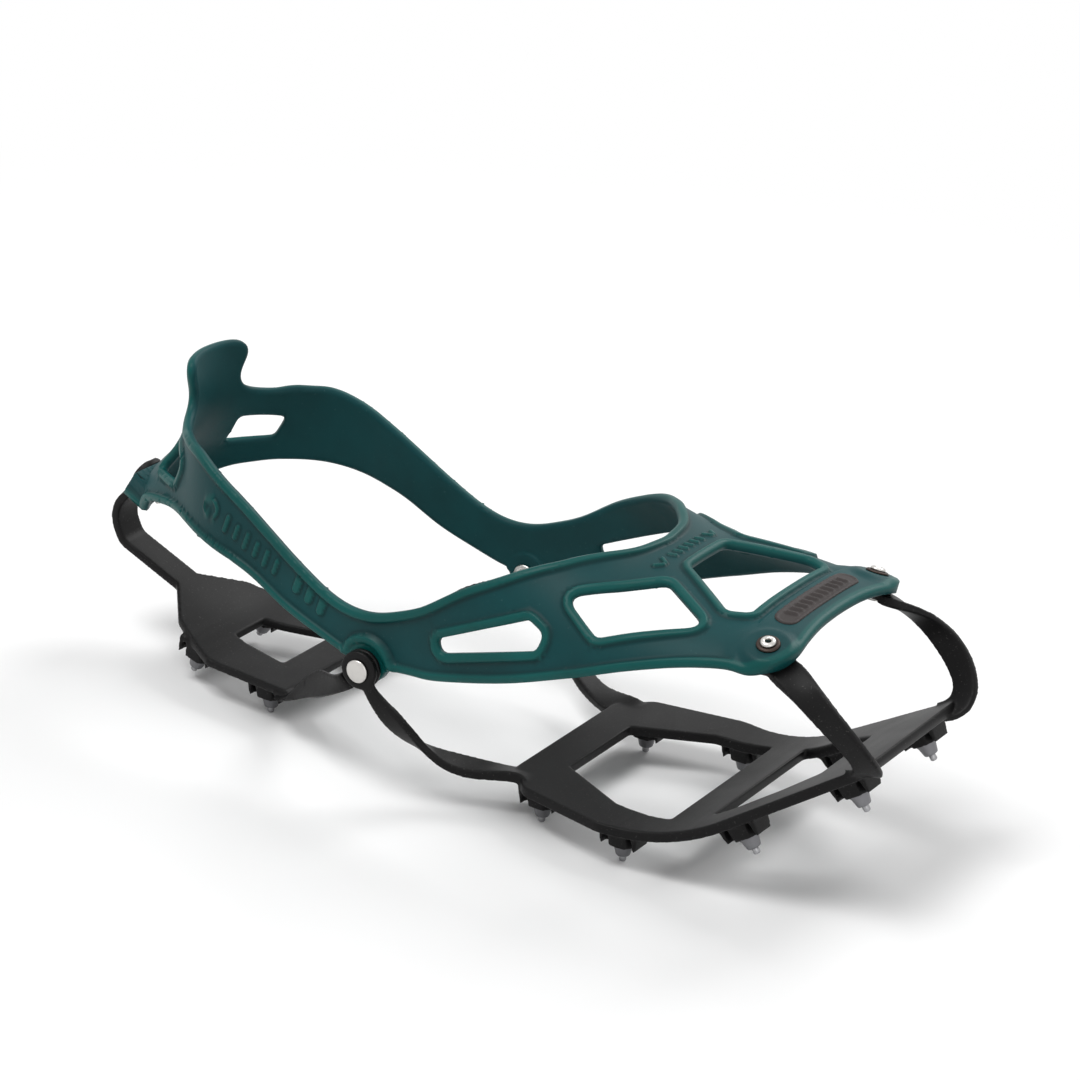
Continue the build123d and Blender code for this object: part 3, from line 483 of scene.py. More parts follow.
def raised_marks(place, grow):
    """Height of the plain raised marks on the harness, each wider by grow."""
    view, plan = place[:, ::2], place[:, :2]
    out = np.zeros(len(place))
    for x, z in ((-60.5, 58.3), (-55.7, 56.4), (-50.9, 54.1)):
        out = np.maximum(out, bar_height(view, (x, z), (0.3, 1), 3.8, 2.6 + grow, 0.95))
    for k in range(6):
        out = np.maximum(out, bar_height(view, (-89.5 + 4 * k, 69.4 - 1.65 * k), (0.3, 1),
                                         4.6 - 0.7 * (k % 2), 1.5 + grow, 0.85))
    emblem = np.abs(np.hypot(view[:, 0] + 96.6, view[:, 1] - 72.5) - 2.9)
    out = np.maximum(out, 0.85 * (1 - smoothstep(0.35 + grow / 2, 0.95 + grow / 2, emblem)))
    out *= np.abs(place[:, 1]) > 20
    top = place[:, 2] > 80
    for y in (-14.5, 14.5):
        for way in (-1, 1):
            arm = bar_height(plan, (48.2, y + way * 1.5), (1, -way * 0.85), 2.8, 1.2 + grow, 0.85)
            out = np.maximum(out, np.where(top, arm, 0))
    for y in np.linspace(-8, 8, 6):
        rib = bar_height(plan, (48.2, y), (1, 0.3), 2.2, 1.1 + grow, 0.7)
        out = np.maximum(out, np.where(top, rib, 0))
    return out


def patch(low, high, step, side=1):
    """Dense flat points over a rectangle."""
    xs, ys = np.arange(low[0], high[0], step), np.arange(low[1], high[1], step)
    return np.stack(np.meshgrid(xs, ys), -1).reshape(-1, 2) * (1, side)


# radii of the mesh circles round the front and the side seats, and half sides of the boss's frames
FRONT_CIRCLES = (5.2, 6.4, 7.2, 8.0, 8.8, 9.6, 10.6, 11.4, 12.2)
SIDE_CIRCLES = (6.4, 6.9, 7.3, 7.7, 8.2, 8.8, 9.4, 9.9, 10.4, 10.9, 11.6, 12.4)
BOSS_FRAMES = ((12.2, 6.9), (12.8, 7.5), (13.4, 8.1), (14.2, 8.8))


def circle_points(point, normal, radii, start):
    """Flat points on circles round a seat's axis."""
    one = np.cross(normal, (0.3, 0.9, 0.2))
    one /= np.linalg.norm(one)
    two = np.cross(normal, one)
    out = []
    for r in radii:
        count = max(10, int(2 * pi * r / 0.9))
        a = np.linspace(0, 2 * pi, count, endpoint=False)
        ring = np.stack([r * np.cos(a) + point @ one, r * np.sin(a) + point @ two], 1)
        out.append(LAST.settle(ring, one, two, start))
    return np.vstack(out)


def boss_points():
    """Flat points on frames round the edge of the boss at the heel."""
    count = 46
    run = [-1 + 2 * i / count for i in range(count)]
    square = [(t, -1) for t in run] + [(1, t) for t in run] + [(-t, 1) for t in run] + [(-1, -t) for t in run]
    frames = [(u * s, w * t) for u, w in BOSS_FRAMES for s, t in square]
    return LAST.settle(np.array(frames) + (0, HEEL_SEAT @ HEEL_UP), Y, HEEL_UP, (-195, 0))


def detail_points():
    """Flat points where the sheet needs a finer mesh: seats, raised marks, front step and boss."""
    extra = []
    for point, normal in FRONT_SEATS:
        start = LAST.settle([point[:2]], X, Y, point[:2])[0]
        extra.append(circle_points(point, normal, FRONT_CIRCLES, start))
    for _, side in SIDES:
        point, normal = np.array((HINGE_X, side * SIDE_SEAT_Y, HINGE_Z)), Y * side
        start = LAST.settle([(HINGE_X, HINGE_Z)], X, Z, SIDE_START)[0] * (1, side)
        extra.append(circle_points(point, normal, SIDE_CIRCLES, start))
        extra.append(patch((-64, 76), (-47, 102), 0.42, side))
        extra.append(patch((-102, 60), (-67, 98), 0.45, side))
    extra.append(patch((44, -19), (53, 19), 0.4))
    extra.append(patch((STEP_X - 0.6, -26), (STEP_X + 1.6, 26), 0.5))
    extra.append(boss_points())
    return extra


def make_harness(sizes):
    """The harness as one closed sheet with rims, raised marks and rivet seats."""
    rim, depth = sizes.rim_width / MM, sizes.panel_depth / MM

    def heights(place, away):
        """How far the outer face stands up, how much of each point gets the painted highlight of a rim or
        raised mark, and how much gets the painted shade at the foot of a rim.
        """
        ring = np.hypot(place[:, 0] - HINGE_X, place[:, 2] - HINGE_Z)
        side = np.abs(place[:, 1]) > SIDE_Y
        by_arc = np.where(side, np.minimum(away, np.abs(ring - ARC)), away)
        away_rim = np.where(side & (ring < ARC), 0, by_arc)
        corner = np.zeros(len(place))
        for point, normal in FRONT_SEATS:
            rel = place - point
            r = np.linalg.norm(rel - (rel @ normal)[:, None] * normal, axis=1)
            corner = np.maximum(corner, (1 - smoothstep(8.5, 14.5, r)) * (np.abs(rel @ normal) < 8))
        corner = np.maximum(corner, smoothstep(STEP_X, STEP_X + 1.0, place[:, 0]))
        panel = smoothstep(rim - RIM_SLOPE, rim, away_rim)
        h = -depth * panel * (1 - corner)
        arc = smoothstep(ARC - 0.4, ARC + 0.4, ring)
        arc = arc * (1 - smoothstep(ARC + rim - RIM_SLOPE, ARC + rim, ring))
        h += ARC_RISE * arc * side * smoothstep(HINGE_Z, HINGE_Z + 2.5, place[:, 2])
        h -= EDGE_DROP * (1 - smoothstep(0, EDGE_ROUND, away)) ** 1.5
        marks = raised_marks(place, 0) * (panel > 0.9)
        # Painted shade in the crease at the foot of each rim.
        foot = panel * (1 - corner) * (1 - smoothstep(rim, rim + 1.4, away_rim))
        # Painted shadow in a ring round each raised mark.
        foot = np.maximum(foot, 1.1 * raised_marks(place, 1.3) * (marks < 0.4) * (panel > 0.9))
        # The rim value also covers the raised marks, which get the lighter colour as a painted highlight.
        return h + marks, np.maximum(1 - panel, np.clip(marks / 0.6, 0, 1)), np.clip(foot, 0, 1)

    def seats(moved, place, level, inner):
        """Flatten the rivet seats, and on the outer face the boss at the heel."""
        for point, normal in FRONT_SEATS:
            rel = place - point
            up = rel @ normal
            r = np.linalg.norm(rel - up[:, None] * normal, axis=1)
            w = (1 - smoothstep(6.0, 9.5, r)) * (np.abs(up) < 6)
            target = FRONT_SEAT_RISE - level
            moved = moved + (w * (target - (moved - point) @ normal))[:, None] * normal
        ring = np.hypot(place[:, 0] - HINGE_X, place[:, 2] - HINGE_Z)
        w = (1 - smoothstep(ARC - 0.4, ARC + 0.3, ring)) * (np.abs(place[:, 1]) > SIDE_Y)
        side = np.sign(place[:, 1])
        flat_y = side * (SIDE_SEAT_Y - level)
        moved = moved.copy()
        moved[:, 1] += w * (flat_y - moved[:, 1])
        if not inner:
            rel = moved - HEEL_SEAT
            box = np.maximum(np.abs(rel[:, 1]) - BOSS_HALF[0], np.abs(rel @ HEEL_UP) - BOSS_HALF[1])
            w = (1 - smoothstep(-0.3, 0.3, box)) * (place[:, 0] < -120) * (place[:, 2] < 75)
            moved = moved - (w * (rel @ HEEL_OUT))[:, None] * HEEL_OUT
        return moved

    def outer(place, normal, away):
        h = heights(place, away)[0]
        return seats(place + normal * h[:, None], place, 0.0, False)

    def inner(place, normal, away):
        h = -THICKNESS + INNER_EDGE_DROP * (1 - smoothstep(0, EDGE_ROUND, away)) ** 1.5
        return seats(place + normal * h[:, None], place, THICKNESS + SEAT_STEP, True)

    rows = (0.3, 0.85, 1.9, rim - RIM_SLOPE, rim - RIM_SLOPE / 2, rim, rim + 1.1)
    piece, place, away = skin("harness", harness_loops(LOOP_SPACING), rows, SHEET_SPACING, detail_points(),
                              outer, inner)
    # rim carries the painted highlight and foot the painted shade, both for the elastomer's colour.
    for name, values in zip(("rim", "foot"), heights(place, away)[1:]):
        shade = piece.data.attributes.new(name, "FLOAT", "POINT")
        shade.data.foreach_set("value", np.append(values, np.zeros(len(values))).astype(np.float32))
    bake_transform(piece)
    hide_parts("harness_front", "harness_bend", "harness_rear")
    return piece


# ------------------------------------------------------------------ shader maths
class Sock:
    """A node socket that takes part in arithmetic."""

    def __init__(self, make, socket):
        self.make, self.socket = make, socket

    def _math(self, operation, *values):
        return self.make.node("ShaderNodeMath", {"operation": operation}, dict(enumerate(values)))

    def __add__(self, other):
        return self._math("ADD", self, other)

    def __radd__(self, other):
        return self._math("ADD", other, self)

    def __sub__(self, other):
        return self._math("SUBTRACT", self, other)

    def __rsub__(self, other):
        return self._math("SUBTRACT", other, self)

    def __mul__(self, other):
        return self._math("MULTIPLY", self, other)

    def __rmul__(self, other):
        return self._math("MULTIPLY", other, self)


class Finish:
    """A material, or the world's light, being made."""

    def __init__(self, name, world=None):
        self.material = world or bpy.data.materials.new(name)
        self.material.use_nodes = True
        self.tree = self.material.node_tree
        self.shader = next(n for n in self.tree.nodes if n.type in ("BSDF_PRINCIPLED", "BACKGROUND"))

    def node(self, kind, settings=(), inputs=(), output=0):
        """Any node, from its type, its settings and the values or links of its sockets."""
        made = self.tree.nodes.new(kind)
        for key, value in dict(settings).items():
            if key == "stops":
                ramp = made.color_ramp
                while len(ramp.elements) < len(value):
                    ramp.elements.new(0.5)
                for element, (place, shade) in zip(ramp.elements, value):
                    element.position, element.color = place, shade
            else:
                setattr(made, key, value)
        for key, value in dict(inputs).items():
            if isinstance(value, Sock):
                self.tree.links.new(value.socket, made.inputs[key])
            else:
                made.inputs[key].default_value = value
        return Sock(self, made.outputs[output])

    def place(self, scale=1.0):
        """Object coordinates in metres, times scale."""
        here = self.node("ShaderNodeTexCoord", output="Object")
        return self.node("ShaderNodeVectorMath", {"operation": "SCALE"}, {0: here, "Scale": scale})

    def noise(self, scale, detail=3.0, rough=0.5):
        return self.node("ShaderNodeTexNoise", {}, {"Vector": self.place(), "Scale": scale,
                                                    "Detail": detail, "Roughness": rough})

    def ramp(self, value, low, high):
        return self.node("ShaderNodeMapRange", {"interpolation_type": "SMOOTHSTEP"},
                         {"Value": value, "From Min": low, "From Max": high})

    def mix(self, factor, one, two):
        return self.node("ShaderNodeMix", {"data_type": "RGBA"}, {0: factor, 6: one, 7: two}, output=2)

    def attribute(self, name):
        return self.node("ShaderNodeAttribute", {"attribute_name": name}, output="Fac")

    def bump(self, height, distance, strength=1.0):
        return self.node("ShaderNodeBump", {}, {"Height": height, "Distance": distance, "Strength": strength})

    def open_rays(self):
        """1 for what is seen straight, in a gloss or through a clear piece, 0 for plain light."""
        straight, gloss, through = (self.node("ShaderNodeLightPath", output=ray)
                                    for ray in ("Is Camera Ray", "Is Glossy Ray", "Is Transmission Ray"))
        return straight + gloss + through

    def end_in(self, factor, other):
        """Mix another shader over this one by the factor, and give that out."""
        first = Sock(self, self.shader.outputs[0])
        both = self.node("ShaderNodeMixShader", {}, {0: factor, 1: first, 2: other})
        end = next(n for n in self.tree.nodes if n.type in ("OUTPUT_MATERIAL", "OUTPUT_WORLD"))
        self.tree.links.new(both.socket, end.inputs["Surface"])

    def set(self, **values):
        for key, value in values.items():
            socket = self.shader.inputs[key.replace("_", " ")]
            if isinstance(value, Sock):
                self.tree.links.new(value.socket, socket)
            else:
                socket.default_value = value
        return self.material


def rgba(colour, factor=1.0):
    """A colour times a factor, with full alpha."""
    return tuple(min(1.0, c * factor) for c in colour[:3]) + (1.0,)


def elastomer(sizes):
    """Matt rubber with a painted highlight on the rims and raised marks, painted shade at the feet of the
    rims and round the marks, fine grain and a little dust.
    """
    f = Finish("elastomer")
    cloud = f.noise(38.0, 4.0)
    grain = f.noise(2600.0, 2.0, 0.6)
    rim = f.attribute("rim")
    panel = f.mix(f.ramp(cloud, 0.3, 0.7), rgba(sizes.panel_colour, 0.86), rgba(sizes.panel_colour, 1.14))
    # The lighter rim colour is a painted highlight on the raised rims and marks.
    edge = f.mix(f.ramp(cloud, 0.3, 0.7), rgba(sizes.rim_highlight_colour, 0.9), rgba(sizes.rim_highlight_colour, 1.12))
    dust = f.ramp(f.noise(900.0, 2.0, 0.7), 0.66, 0.78)
    colour = f.mix(rim, panel, edge)
    # Painted shade: darker panel colour at the feet of the rims and round the raised marks.
    colour = f.mix(0.55 * f.attribute("foot"), colour, rgba(sizes.panel_colour, 0.35))
    colour = f.mix(0.1 * dust, colour, rgba((0.16, 0.26, 0.26)))
    return f.set(Base_Color=colour, Roughness=0.44 + 0.12 * cloud - 0.08 * rim,
                 Normal=f.bump(grain + 0.4 * dust, 0.00006, 0.4), Specular_IOR_Level=0.17)


def polymer(name, colour, rough, speck):
    """Moulded polymer with a fine grain and pale flecks."""
    f = Finish(name)
    cloud = f.noise(60.0, 4.0)
    grain = f.noise(3200.0, 2.0, 0.6)
    fleck = f.ramp(f.noise(1700.0, 1.0), 0.68, 0.76)
    base = f.mix(f.ramp(cloud, 0.3, 0.7), rgba(colour, 0.82), rgba(colour, 1.2))
    base = f.mix(speck * fleck, base, rgba((0.11, 0.105, 0.10)))
    return f.set(Base_Color=base, Roughness=rough - 0.08 + 0.16 * cloud,
                 Normal=f.bump(grain, 0.00005, 0.5), Specular_IOR_Level=0.16)


def metal(name, colour, rough, scratch=1.0):
    """Metal with fine scratches that run one way."""
    f = Finish(name)
    cloud = f.noise(400.0, 4.0)
    lines = f.node("ShaderNodeTexNoise", {}, {"Vector": f.node(
        "ShaderNodeVectorMath", {"operation": "MULTIPLY"}, {0: f.place(), 1: (900.0, 60.0, 900.0)}),
        "Scale": 1.0, "Detail": 3.0})
    base = f.mix(cloud, rgba(colour, 0.86), rgba(colour, 1.08))
    return f.set(Base_Color=base, Metallic=1.0, Roughness=rough + 0.14 * cloud * scratch,
                 Normal=f.bump(lines, 0.00004, 0.35 * scratch))


def dress(piece, material):
    """Give a piece its only material."""
    piece.data.materials.clear()
    piece.data.materials.append(material)
    return piece


def finish(piece, node, body, material):
    """Dress a turned piece, and put it in the place of a CAD node."""
    dress(piece, material)
    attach(piece, body)
    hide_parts(node)


# ------------------------------------------------------------------ pieces turned round an axis
def centre_of(node):
    """Middle of a CAD node's box, in metres."""
    low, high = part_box(node)
    return (low + high) / 2


def turned(name, at, axis, profile, steps=56):
    """Closed piece turned round an axis through at; profile is (radius, height) in millimetres."""
    axis = Vector(axis).normalized()
    across = axis.orthogonal().normalized()
    other = axis.cross(across)
    verts, faces = [], []
    hollow = profile[0][0] > 0
    for radius, height in profile:
        for k in range(steps):
            a = 2 * pi * k / steps
            verts.append(Vector(at) + MM * (height * axis + radius * (cos(a) * across + sin(a) * other)))
    rings = len(profile)
    for i in range(rings if hollow else rings - 1):
        for k in range(steps):
            n = (k + 1) % steps
            j = (i + 1) % rings
            faces.append((i * steps + k, i * steps + n, j * steps + n, j * steps + k))
    mesh = bpy.data.meshes.new(name)
    mesh.from_pydata([tuple(v) for v in verts], [], faces)
    shape = bmesh.new()
    shape.from_mesh(mesh)
    bmesh.ops.remove_doubles(shape, verts=shape.verts, dist=1e-7)
    bmesh.ops.recalc_face_normals(shape, faces=shape.faces)
    shape.to_mesh(mesh)
    shape.free()
    return smooth_object(name, mesh)


# profiles of turned pieces, as (radius, height) in millimetres
BADGE_DEPTH = 1.15
HALF_CAP = 0.5                   # half the thickness of the caps inside the harness
WASHER = ((1.8, -0.35), (1.8, 0.2), (1.95, 0.35), (3.2, 0.32), (3.5, 0.1), (3.6, -0.35))
FRONT_CAP = ((1.75, -0.5), (1.75, 0.5), (3.0, 0.5), (3.3, 0.2), (3.2, -0.3), (2.8, -0.5))
HEEL_CAP = ((2.45, -0.5), (2.45, 0.5), (4.3, 0.5), (4.6, 0.2), (4.5, -0.3), (4.1, -0.5))
STUD = ((0, 6.5), (3.0, 6.5), (3.2, 6.2), (3.2, 3.6), (3.05, 3.3), (2.9, 3.1), (2.25, 0.5), (2.0, 0.15),
        (1.7, 0), (1.15, 0), (1.15, 1.5), (0, 1.5))


def side_head(head, end):
    """Flat head of a side rivet, with its shank down to end."""
    return [(0, 0), (head - 2.4, -0.06), (head - 1.4, -0.16), (head - 0.7, -0.32), (head - 0.2, -0.55),
            (head, -0.8), (head - 0.1, -1.15), (2.2, -1.2), (2.2, end), (0, end)]


def side_cap(head, thick):
    """Closed end of a side rivet."""
    return [(2.25, 0), (2.25, thick), (head - 0.4, thick), (head, thick - 0.4), (head, 0.3), (head - 0.3, 0)]


def eyelet(depth):
    """Hollow front rivet, with its shank down to depth."""
    return [(0.9, depth), (0.9, 0.9), (1.0, 1.25), (1.3, 1.45), (1.75, 1.4), (2.15, 1.15), (2.35, 0.8),
            (2.3, 0.42), (1.7, 0.40), (1.7, depth)]


def heel_head(depth):
    """Domed head of the heel rivet, with its shank down to depth."""
    return [(0, -0.55), (1.4, -0.5), (1.8, -0.2), (3.2, 0), (4.0, -0.2), (4.5, -0.6), (4.6, -1.05),
            (4.5, -1.2), (2.4, -1.2), (2.4, depth), (0, depth)]


def hard_tip(drop):
    """Hard tip in a stud body, which stands out to drop."""
    return [(0, 1.45), (1.1, 1.45), (1.1, drop + 0.5), (0.95, drop + 0.2), (0.6, drop), (0, drop)]


# ------------------------------------------------------------------ settings
class HarnessSizes(bpy.types.PropertyGroup):
    rim_width: FloatProperty(name="Rim width", description="Width of the raised rim along every edge",
                             default=0.0031, unit="LENGTH")
    panel_depth: FloatProperty(name="Panel depth", description="How far the panels lie under the rims",
                               default=0.0011, unit="LENGTH")
    panel_colour: FloatVectorProperty(name="Panel colour", description="Colour of the recessed panels",
                                      default=(0.0015, 0.043, 0.047), size=3, subtype="COLOR")
    # Lighter than the panels: a painted highlight on the raised rims and marks.
    rim_highlight_colour: FloatVectorProperty(name="Rim colour", description="Colour of the rims",
                                    default=(0.0015, 0.070, 0.065), size=3, subtype="COLOR")


class PlateSizes(bpy.types.PropertyGroup):
    edge_round: FloatProperty(name="Edge rounding", description="Cell size of the rounding of moulded edges",
                              default=0.00045, unit="LENGTH")
    colour: FloatVectorProperty(name="Plate colour", description="Colour of the plates, straps and arms",
                                default=(0.0035, 0.0033, 0.0035), size=3, subtype="COLOR")
    badge_colour: FloatVectorProperty(name="Badge colour", description="Colour of the badge",
                                      default=(0.045, 0.038, 0.037), size=3, subtype="COLOR")


class MetalSizes(bpy.types.PropertyGroup):
    rivet_colour: FloatVectorProperty(name="Rivet colour", description="Colour of the nickel rivets",
                                      default=(0.60, 0.585, 0.56), size=3, subtype="COLOR")
    stud_colour: FloatVectorProperty(name="Stud colour", description="Colour of the stud bodies",
                                     default=(0.20, 0.20, 0.21), size=3, subtype="COLOR")


class StageSizes(bpy.types.PropertyGroup):
    room_light: FloatProperty(name="Room light", description="Strength of the even light from all round",
                              default=0.4, min=0.0)
    azimuth: FloatProperty(name="Azimuth", description="Bearing of the camera", default=radians(30.3),
                           subtype="ANGLE")
    elevation: FloatProperty(name="Elevation", description="Height angle of the camera",
                             default=radians(23.06), subtype="ANGLE")
    roll: FloatProperty(name="Roll", description="Turn of the camera about its own axis",
                        default=radians(4.41), subtype="ANGLE")
    distance: FloatProperty(name="Distance", description="From the camera to what it looks at", default=1.2,
                            unit="LENGTH")
    lens: FloatProperty(name="Lens", description="Focal length in millimetres", default=130.2, subtype="NONE")
    target: FloatVectorProperty(name="Target", description="What the camera looks at",
                                default=(0.0076, 0.0067, 0.0720), size=3, subtype="TRANSLATION")


class CRAMPON_OT_harness(bpy.types.Operator):
    """Make the elastomer harness as one moulding with raised rims"""
    bl_idname = "crampon.harness"
    bl_label = "Harness"

    def execute(self, context):
        sizes = context.scene.crampon_harness
        piece = make_harness(sizes)
        dress(piece, elastomer(sizes))
        return {"FINISHED"}


class CRAMPON_OT_badge(bpy.types.Operator):
    """Make the ribbed badge on the front edge"""
    bl_idname = "crampon.badge"
    bl_label = "Badge"

    def execute(self, context):
        low, high = (np.array(c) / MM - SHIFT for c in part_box("badge"))
        middle, half = (low + high) / 2, (high - low) / 2
        ends = half[1] - half[0]
        turns = np.linspace(0, pi, 14)
        outline = [(middle[0] + half[0] * cos(a), ends + half[0] * sin(a)) for a in turns]
        outline += [(middle[0] - half[0] * cos(a), -ends - half[0] * sin(a)) for a in turns]
        loop = evenly(LAST.settle(outline, X, Y, (middle[0], 0)), 0.8, LAST.place)

        def ribs(place, away):
            body = smoothstep(0, 0.5, away) ** 0.6
            ridge = np.zeros(len(place))
            for k in range(-5, 6):
                rib = bar_height(place[:, :2], (middle[0], 3.1 * k), (1, 0.35), 2.6, 1.2, 0.7)
                ridge = np.maximum(ridge, rib)
            return 0.35 * body + 0.1 + ridge * (away > 0.8) - 0.25 * smoothstep(0.8, 1.2, away)

        piece, _, _ = skin("badge_ribs", [loop], (0.25, 0.6, 0.9, 1.3), 0.5, [],
                           lambda place, normal, away: place + normal * ribs(place, away)[:, None],
                           lambda place, normal, away: place - normal * BADGE_DEPTH)
        dress(piece, polymer("badge rubber", context.scene.crampon_plates.badge_colour, 0.55, 0.1))
        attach(piece, FORE)
        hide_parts("badge")
        return {"FINISHED"}


class CRAMPON_OT_plates(bpy.types.Operator):
    """Round the moulded edges of the two plates with their straps and arms"""
    bl_idname = "crampon.plates"
    bl_label = "Plates"

    def execute(self, context):
        sizes = context.scene.crampon_plates
        material = polymer("plate polymer", sizes.colour, 0.46, 0.3)
        for node, body in (("forefoot_plate", FORE), ("heel_plate", HEEL)):
            copy = bpy.data.objects.new(node + "_moulding", frame["nodes"][node].data.copy())
            context.scene.collection.objects.link(copy)
            remesh = copy.modifiers.new("cells", "REMESH")
            remesh.mode = "VOXEL"
            remesh.voxel_size = sizes.edge_round
            remesh.use_smooth_shade = True
            soften = copy.modifiers.new("soften", "SMOOTH")
            soften.factor, soften.iterations = 0.5, 12
            fewer = copy.modifiers.new("fewer", "DECIMATE")
            fewer.ratio = 0.3
            context.view_layer.update()
            depsgraph = context.evaluated_depsgraph_get()
            mesh = bpy.data.meshes.new_from_object(copy.evaluated_get(depsgraph))
            copy.modifiers.clear()
            copy.data = mesh
            dress(copy, material)
            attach(copy, body)
            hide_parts(node)
        return {"FINISHED"}


class CRAMPON_OT_rivets(bpy.types.Operator):
    """Turn the rivets, washers and caps"""
    bl_idname = "crampon.rivets"
    bl_label = "Rivets"

    def execute(self, context):
        nickel = metal("rivet nickel", context.scene.crampon_metal.rivet_colour, 0.24)
        # The washer is its own dark brown, darkened further as painted shade of the recess round each front
        # rivet.
        washer_shade = metal("washer painted shade", (0.05, 0.038, 0.033), 0.4)
        black = polymer("heel rivet polymer", context.scene.crampon_plates.colour, 0.4, 0.1)

        for label, side in SIDES:
            rivet, closed = f"side_rivet_{label}", f"side_rivet_cap_{label}"
            low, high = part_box(rivet)
            head = (high.x - low.x) / 2 / MM
            cap_low, cap_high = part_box(closed)
            face = high.y if side > 0 else -low.y
            at = Vector((centre_of(rivet).x, side * face, centre_of(rivet).z))
            end = -(face - (cap_low.y if side > 0 else -cap_high.y)) / MM
            finish(turned(rivet + "_head", at, (0, side, 0), side_head(head, end)), rivet, FORE, nickel)
            at = Vector((at.x, cap_low.y if side > 0 else cap_high.y, at.z))
            cap = side_cap(head, (cap_high.y - cap_low.y) / MM)
            finish(turned(rivet + "_cap", at, (0, side, 0), cap), closed, FORE, nickel)

            rivet, washer, closed = (f"front_{kind}_{label}" for kind in ("rivet", "washer", "rivet_cap"))
            top, bottom = centre_of(washer), centre_of(closed)
            axis = (top - bottom).normalized()
            finish(turned(washer + "_ring", top, axis, WASHER), washer, FORE, washer_shade)
            depth = -(top - bottom).length / MM - HALF_CAP
            finish(turned(rivet + "_eyelet", top, axis, eyelet(depth)), rivet, FORE, nickel)
            finish(turned(rivet + "_cap", bottom, axis, FRONT_CAP), closed, FORE, nickel)

        axis = Vector(HEEL_OUT)
        cap = centre_of("heel_rivet_cap")
        face = max(v.co.dot(axis) for v in frame["nodes"]["heel_rivet"].data.vertices)
        at = cap + axis * (face - cap.dot(axis))
        depth = -(face - cap.dot(axis)) / MM - HALF_CAP
        finish(turned("heel_rivet_head", at, axis, heel_head(depth)), "heel_rivet", HEEL, black)
        finish(turned("heel_rivet_cap_ring", cap, axis, HEEL_CAP), "heel_rivet_cap", HEEL, nickel)
        return {"FINISHED"}


class CRAMPON_OT_studs(bpy.types.Operator):
    """Turn the stud bodies and their hard tips"""
    bl_idname = "crampon.studs"
    bl_label = "Studs"

    def execute(self, context):
        steel = metal("stud steel", context.scene.crampon_metal.stud_colour, 0.42, 0.6)
        carbide = metal("carbide", (0.33, 0.33, 0.34), 0.28, 0.6)
        for node in sorted(frame["nodes"]):
            if not node.startswith("stud_body_"):
                continue
            label = node[len("stud_body_"):]
            body = HEEL if label.startswith("heel") else FORE
            stud, tip = centre_of(node), centre_of(f"carbide_tip_{label}")
            axis = (stud - tip).normalized()
            foot = min(v.co.dot(axis) for v in frame["nodes"][node].data.vertices)
            point = min(v.co.dot(axis) for v in frame["nodes"][f"carbide_tip_{label}"].data.vertices)
            at = tip + axis * (foot - tip.dot(axis))
            finish(turned(f"stud_{label}", at, axis, STUD, 40), node, body, steel)
            hard = turned(f"hard_tip_{label}", at, axis, hard_tip((point - foot) / MM), 32)
            finish(hard, f"carbide_tip_{label}", body, carbide)
        return {"FINISHED"}


FLOOR_HALF = 4
FLOOR_FADE = (0.28, 0.62)        # the floor turns white between these distances from the middle
# name, place, size and power of each lamp
LAMPS = (("key", (-0.5, -0.7, 2.0), 0.9, 24), ("fill", (1.5, -1.1, 0.9), 1.2, 5),
         ("back", (0.3, 1.5, 1.5), 1.1, 20))


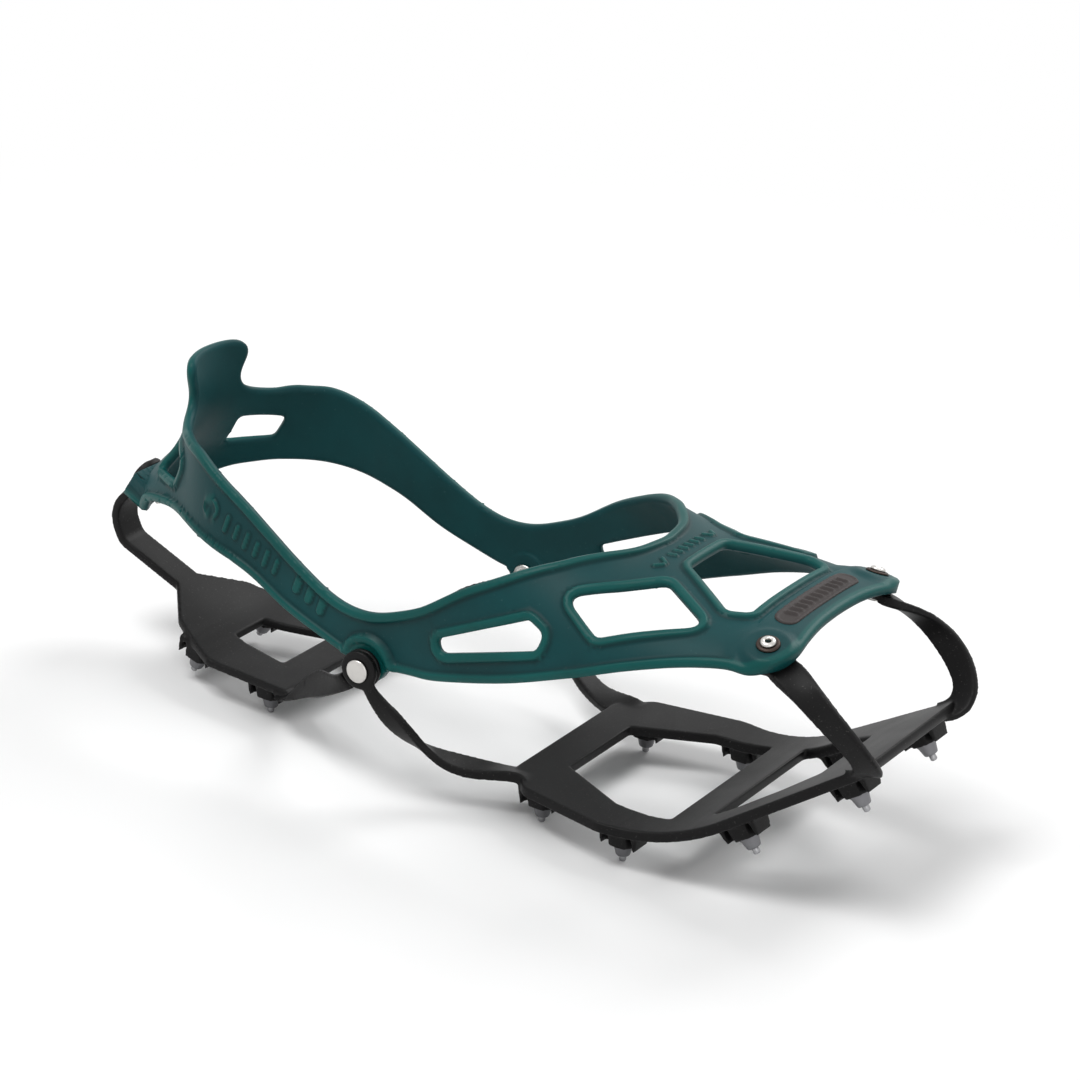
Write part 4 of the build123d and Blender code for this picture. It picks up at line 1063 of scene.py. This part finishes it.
class CRAMPON_OT_stage(bpy.types.Operator):
    """Add the floor, the lights and the camera"""
    bl_idname = "crampon.stage"
    bl_label = "Stage"

    def execute(self, context):
        scene = context.scene
        sizes = scene.crampon_stage
        scene.view_settings.view_transform = "Standard"
        mesh = bpy.data.meshes.new("floor")
        half = FLOOR_HALF
        mesh.from_pydata([(-half, -half, 0), (half, -half, 0), (half, half, 0), (-half, half, 0)], [],
                         [(0, 1, 2, 3)])
        floor = bpy.data.objects.new("floor", mesh)
        scene.collection.objects.link(floor)
        f = Finish("floor")
        cloud = f.noise(9.0, 2.0)
        f.set(Base_Color=f.mix(cloud, rgba((0.90, 0.90, 0.90)), rgba((0.94, 0.94, 0.94))), Roughness=0.9)
        far = f.node("ShaderNodeVectorMath", {"operation": "LENGTH"}, {0: f.place()}, output="Value")
        white = f.node("ShaderNodeEmission", {}, {"Strength": 1.0})
        f.end_in(f.open_rays() * f.ramp(far, *FLOOR_FADE), white)
        dress(floor, f.material)

        world = bpy.data.worlds.new("studio")
        scene.world = world
        w = Finish("studio", world)
        w.set(Color=rgba((1, 1, 1)), Strength=sizes.room_light)
        white = w.node("ShaderNodeBackground", {}, {"Color": rgba((1, 1, 1)), "Strength": 1.0})
        w.end_in(w.open_rays(), white)
        for name, place, size, power in LAMPS:
            lamp = bpy.data.lights.new(name, "AREA")
            lamp.size, lamp.energy = size, power
            light = bpy.data.objects.new(name, lamp)
            light.location = place
            light.rotation_euler = (Vector(place)).to_track_quat("Z", "Y").to_euler()
            scene.collection.objects.link(light)

        a, e = sizes.azimuth, sizes.elevation
        back = Vector((sin(a) * cos(e), -cos(a) * cos(e), sin(e)))
        right = Vector((cos(a), sin(a), 0))
        up = back.cross(right)
        turn = Matrix((right, up, back)).transposed() @ Matrix.Rotation(sizes.roll, 3, "Z")
        camera = bpy.data.objects.new("camera", bpy.data.cameras.new("camera"))
        camera.data.lens, camera.data.sensor_width = sizes.lens, 36
        camera.data.clip_start, camera.data.clip_end = 0.05, 20
        camera.matrix_world = Matrix.Translation(Vector(sizes.target) + back * sizes.distance) @ turn.to_4x4()
        scene.collection.objects.link(camera)
        scene.camera = camera
        return {"FINISHED"}


class CRAMPON_PT_panel(bpy.types.Panel):
    """Lists the pieces of the crampons"""
    bl_idname = "CRAMPON_PT_panel"
    bl_label = "Crampons"
    bl_space_type = "VIEW_3D"
    bl_region_type = "UI"
    bl_category = "Crampons"

    def draw(self, context):
        for settings, operators in PANEL_ROWS:
            box = self.layout.box()
            values = getattr(context.scene, settings)
            for name in values.__annotations__:
                box.prop(values, name)
            for operator in operators:
                box.operator(operator)


PANEL_ROWS = (
    ("crampon_harness", ("crampon.harness",)),
    ("crampon_plates", ("crampon.badge", "crampon.plates")),
    ("crampon_metal", ("crampon.rivets", "crampon.studs")),
    ("crampon_stage", ("crampon.stage",)),
)
GROUPS = (("crampon_harness", HarnessSizes), ("crampon_plates", PlateSizes), ("crampon_metal", MetalSizes),
          ("crampon_stage", StageSizes))
OPERATORS = (CRAMPON_OT_harness, CRAMPON_OT_badge, CRAMPON_OT_plates, CRAMPON_OT_rivets, CRAMPON_OT_studs,
             CRAMPON_OT_stage)


def register():
    for name, group in GROUPS:
        bpy.utils.register_class(group)
        setattr(bpy.types.Scene, name, PointerProperty(type=group))
    for item in OPERATORS + (CRAMPON_PT_panel,):
        bpy.utils.register_class(item)


def unregister():
    for item in (CRAMPON_PT_panel,) + OPERATORS[::-1]:
        bpy.utils.unregister_class(item)
    for name, group in GROUPS[::-1]:
        delattr(bpy.types.Scene, name)
        bpy.utils.unregister_class(group)


def main():
    register()
    bpy.ops.crampon.stage()
    bpy.ops.crampon.harness()
    bpy.ops.crampon.badge()
    bpy.ops.crampon.plates()
    bpy.ops.crampon.rivets()
    bpy.ops.crampon.studs()


if __name__ == "__main__":
    main()
